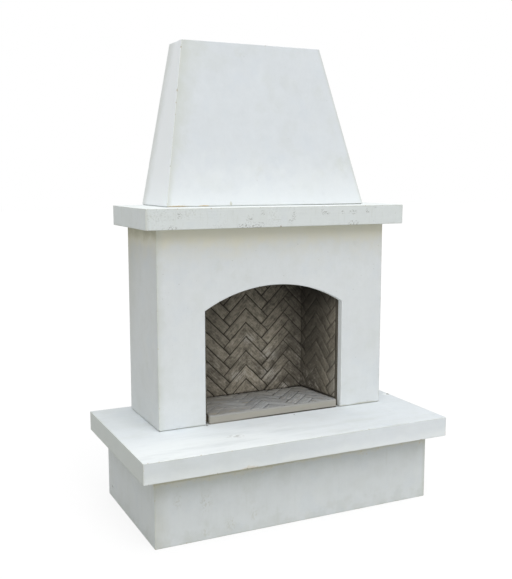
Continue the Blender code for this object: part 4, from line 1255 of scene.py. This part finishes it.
def woven_wire():
    """Crimped wires over and under each other, both ways across a rectangle about the origin."""
    p = Pattern("Woven wire", Float="Width, Depth, Mesh, Wire", Material="Steel")
    width, depth, mesh, wire = p["Width"], p["Depth"], p["Mesh"], p["Wire"]
    ring = p.node("GeometryNodeCurvePrimitiveCircle", {"Resolution": 6, "Radius": wire * 0.5})
    x, y, _ = p.position.parts()
    wave = p.math("COSINE", x / mesh * math.pi) * p.math("COSINE", y / mesh * math.pi)
    ways = []
    for length, span, over, turn in ((width, depth, 0.5, 0), (depth, width, -0.5, 90)):
        steps = p.math("ROUND", length / mesh) * WIRE_STEPS + 1
        ends = {"Start Location": p.join(length * -0.5), "Offset": p.join(length * 0.5)}
        line = p.node("GeometryNodeMeshLine", {"Count": steps, **ends}, mode="END_POINTS")
        count = p.math("FLOOR", span / mesh)
        rows = p.points(count, 0.0, (p.index - (count - 1) * 0.5) * mesh)
        wires = p.real(p.set_out(rows, p.node("GeometryNodeMeshToCurve", {0: line})))
        wires = p.moved(wires, Offset=p.join(0.0, 0.0, wave * wire * over))
        tube = {"Curve": wires, "Profile Curve": ring, "Fill Caps": True}
        tubes = p.node("GeometryNodeCurveToMesh", tube)
        turned = {"Geometry": tubes, "Rotation": (0.0, 0.0, math.radians(turn))}
        ways.append(p.node("GeometryNodeTransform", turned))
    return p.finished(p.painted(p.smooth(p.together(*ways)), p["Steel"]))


def border_plate(outer, inner):
    """A flat plate with a rectangular window. Both are given as the two corners of a box."""
    shape = bmesh.new()
    (low, high), (window_low, window_high) = outer, inner
    across = (low.x, window_low.x, window_high.x, high.x)
    deep = (low.y, window_low.y, window_high.y, high.y)
    grid = [[shape.verts.new((x, y, low.z)) for y in deep] for x in across]
    for i in range(3):
        for j in range(3):
            if (i, j) != (1, 1):
                shape.faces.new((grid[i][j], grid[i][j + 1], grid[i + 1][j + 1], grid[i + 1][j]))
    lifted = bmesh.ops.extrude_face_region(shape, geom=shape.faces[:], use_keep_orig=True)["geom"]
    top = [item for item in lifted if isinstance(item, bmesh.types.BMVert)]
    bmesh.ops.translate(shape, verts=top, vec=(0, 0, high.z - low.z))
    bmesh.ops.recalc_face_normals(shape, faces=shape.faces[:])
    return shape


SCREW_RINGS = (
    (-SCREW_SHANK, 0.0022), (-SCREW_SHANK + 0.0004, 0.0025), (0.0, 0.0025), (0.0, 0.0053),
    (0.0003, 0.0055), (0.0010, 0.0054), (0.0018, 0.0049), (0.0025, 0.0038), (0.0029, 0.0026),
)  # height and radius
SOCKET_RINGS = ((SCREW_HEAD, 0.0019), (0.0013, 0.0019))  # the same, of a hexagon


def socket_screw():
    """Button head with a hexagon socket on a plain shank, head's underside at zero."""
    count = 24
    shape = bmesh.new()
    rings = []
    for z, radius in SCREW_RINGS + SOCKET_RINGS:
        ring = []
        for step in range(count):
            angle = math.tau * step / count
            lean = (angle % math.radians(60)) - math.radians(30)
            hexagon = math.cos(math.radians(30)) / math.cos(lean)
            reach = radius * (hexagon if (z, radius) in SOCKET_RINGS else 1)
            ring.append(shape.verts.new((reach * math.cos(angle), reach * math.sin(angle), z)))
        rings.append(ring)
    for low, high in zip(rings, rings[1:]):
        for step in range(count):
            after = (step + 1) % count
            shape.faces.new((low[step], low[after], high[after], high[step]))
    shape.faces.new(reversed(rings[0]))
    shape.faces.new(rings[-1])
    return closed(shape, bpy.data.meshes.new("socket_screw"))


def screws_at_corners():
    """Copies of a screw at the corners of a rectangle, each turned by chance."""
    p = Pattern("Corner screws", Float="Width, Depth", Vector="Centre", Material="Steel")
    size = {"Size X": p["Width"], "Size Y": p["Depth"], "Vertices X": 2, "Vertices Y": 2}
    corners = p.moved(p.node("GeometryNodeMeshGrid", size), Offset=p["Centre"])
    turn = p.join(0.0, 0.0, p.random(0.0, math.tau, 5))
    return p.finished(p.painted(p.set_out(corners, p["Geometry"], Rotation=turn), p["Steel"]))


def spark_screen(looks, steel):
    """Woven screen held in a border plate, and the four screws that hold the plate to its frame."""
    low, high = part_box("spark_screen")
    inside = [corner.copy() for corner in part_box("flue_liner")]
    inside[0].y = low.y + WINDOW_FRONT
    inside[1].y = min(inside[1].y, high.y) - WINDOW_BACK
    middle = (inside[0] + inside[1]) / 2
    middle.z = (low.z + high.z) / 2
    span = inside[1] - inside[0]
    values = {"Width": span.x + SCREEN_HOLD, "Depth": span.y + SCREEN_HOLD, "Steel": steel}
    screen = made_by(woven_wire(), "woven_spark_screen", looks, values)
    screen.data.transform(Matrix.Translation(middle))
    add_to(screen, border_plate((low, high), inside), steel)
    dressed(screen, "stainless_steel", "spark_screen")
    names = [f"spark_screw_{number + 1}" for number in range(4)]
    near, far = ((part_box(name)[0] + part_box(name)[1]) / 2 for name in (names[0], names[3]))
    seat = (near + far) / 2
    seat.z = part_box(names[0])[1].z - SCREW_HEAD
    values = {"Centre": seat, "Width": far.x - near.x, "Depth": far.y - near.y, "Steel": steel}
    screws = made_by(screws_at_corners(), "spark_screws", looks, values, socket_screw())
    dressed(screws, "stainless_steel", *names)


class FIREPLACE_OT_flue(bpy.types.Operator):
    """Finishes the smoke dome, its insulation and lintel, the flue and the spark screen"""

    bl_idname = "fireplace.flue"
    bl_label = "Smoke Dome and Flue"

    def execute(self, context):
        looks = settings("steel")
        dome = plain_concrete("sooty_refractory", linear(96, 88, 78))
        repaint(dome, "smoke_dome_left", "smoke_dome_right")
        board = board_finish("insulation_board", linear(196, 188, 170), linear(112, 104, 90))
        repaint(board, "insulation_back", "insulation_left", "insulation_right")
        joints = ("pedestal", "surround", "mantel", "hood")
        pins = [f"{joint}_pin_{side}" for joint in joints for side in ("left", "right")]
        repaint(galvanised_finish("galvanised_steel", looks.galvanised), "lintel_angle", *pins)
        flue = steel_finish("flue_sheet", looks.stainless, looks.heat)
        repaint(flue, "flue_collar", "flue_liner")
        fitting = steel_finish("fitting_steel", looks.stainless)
        repaint(fitting, "spark_frame")
        spark_screen(looks, fitting)
        return {"FINISHED"}


# Stage


def soft_light(name, strength, azimuth, height, spread):
    """Light from one part of the sky. Azimuth goes from the front to the right, in degrees."""
    data = bpy.data.lights.new(name, "SUN")
    data.energy = strength
    data.angle = math.radians(spread)
    around, up = math.radians(azimuth), math.radians(height)
    source = (math.sin(around) * math.cos(up), -math.cos(around) * math.cos(up), math.sin(up))
    in_scene(name, data).rotation_euler = Vector(source).to_track_quat("Z", "Y").to_euler()


def seen_directly(tree):
    """1 for what the camera sees, also in metal or through glass, and 0 for light on surfaces."""
    ray = tree.node("ShaderNodeLightPath", output="Is Camera Ray")
    return ray.most(ray.also("Is Glossy Ray").most(ray.also("Is Transmission Ray")))


def emptied(owner):
    """The node tree of a material or world, with nothing in it."""
    owner.use_nodes = True
    owner.node_tree.nodes.clear()
    return Tree(owner.node_tree)


def mixed(tree, factor, first, second):
    return tree.node("ShaderNodeMixShader", {0: factor, 1: first, 2: second})


class FIREPLACE_OT_stage(bpy.types.Operator):
    """Sets up the pale floor, the soft light and the camera"""

    bl_idname = "fireplace.stage"
    bl_label = "Stage and Camera"

    def execute(self, context):
        looks = settings("stage")
        context.scene.view_settings.view_transform = "Standard"
        self.make_world(context.scene, looks)
        self.make_floor(looks)
        soft_light("top_light", looks.top_light, 0, 85, 60)
        soft_light("key_light", looks.key_light, 4, 52, 60)
        soft_light("fill_light", looks.fill_light, -45, 30, 50)
        self.make_camera(context.scene)
        return {"FINISHED"}

    def make_world(self, scene, looks):
        scene.world = bpy.data.worlds.new("soft_sky")
        tree = emptied(scene.world)
        sky = tree.node("ShaderNodeBackground", {"Color": WHITE, "Strength": looks.sky})
        white = tree.node("ShaderNodeBackground", {"Color": WHITE, "Strength": 1.0})
        seen = mixed(tree, seen_directly(tree), sky, white)
        tree.node("ShaderNodeOutputWorld", {"Surface": seen})

    def make_floor(self, looks):
        """A plain floor that looks white but keeps the fireplace's soft shadow."""
        reach = FLOOR_REACH
        corners = [(-reach, -reach, 0), (reach, -reach, 0), (reach, reach, 0), (-reach, reach, 0)]
        mesh = bpy.data.meshes.new("studio_floor")
        mesh.from_pydata(corners, [], [(0, 1, 2, 3)])
        material = bpy.data.materials.new("studio_floor")
        tree = emptied(material)
        lit = tree.node("ShaderNodeBsdfDiffuse", {"Color": rgba(looks.floor)})
        pale = tree.node("ShaderNodeBsdfDiffuse", {"Color": WHITE})
        glow = tree.node("ShaderNodeEmission", {"Color": WHITE, "Strength": 1.0})
        seen = mixed(tree, FLOOR_GLOW, pale, glow)
        shown = mixed(tree, seen_directly(tree), lit, seen)
        tree.node("ShaderNodeOutputMaterial", {"Surface": shown})
        mesh.materials.append(material)
        in_scene("studio_floor", mesh)

    def make_camera(self, scene):
        data = bpy.data.cameras.new("camera")
        data.sensor_width = 36.0
        data.lens = data.sensor_width * PHOTO_FOCUS / PHOTO_HEIGHT
        scene.camera = in_scene("camera", data)
        scene.camera.location = CAMERA_PLACE
        pitch, yaw = math.radians(90 + CAMERA_PITCH), math.radians(-CAMERA_YAW)
        scene.camera.rotation_euler = (pitch, 0, yaw)


class FIREPLACE_PT_looks(bpy.types.Panel):
    """Lists the fireplace's settings and the steps that dress it"""

    bl_label = "Precast Fireplace"
    bl_space_type = "VIEW_3D"
    bl_region_type = "UI"
    bl_category = "Fireplace"

    def draw(self, context):
        for (name, group), operator in zip(GROUPS.items(), OPERATORS):
            box = self.layout.box()
            for setting in group.__annotations__:
                box.prop(settings(name), setting)
            box.operator(operator.bl_idname)


GROUPS = {
    "concrete": FireplaceConcrete,
    "brick": FireplaceBrick,
    "steel": FireplaceSteel,
    "stage": FireplaceStage,
}
OPERATORS = (FIREPLACE_OT_castings, FIREPLACE_OT_firebox, FIREPLACE_OT_flue, FIREPLACE_OT_stage)


def register():
    for kind in (*GROUPS.values(), *OPERATORS, FIREPLACE_PT_looks):
        bpy.utils.register_class(kind)
    for name, group in GROUPS.items():
        setattr(bpy.types.Scene, f"fireplace_{name}", bpy.props.PointerProperty(type=group))


def unregister():
    for name in GROUPS:
        delattr(bpy.types.Scene, f"fireplace_{name}")
    for kind in reversed((*GROUPS.values(), *OPERATORS, FIREPLACE_PT_looks)):
        bpy.utils.unregister_class(kind)


def main():
    register()
    bpy.ops.fireplace.castings()
    bpy.ops.fireplace.firebox()
    bpy.ops.fireplace.flue()
    bpy.ops.fireplace.stage()


if __name__ == "__main__":
    main()
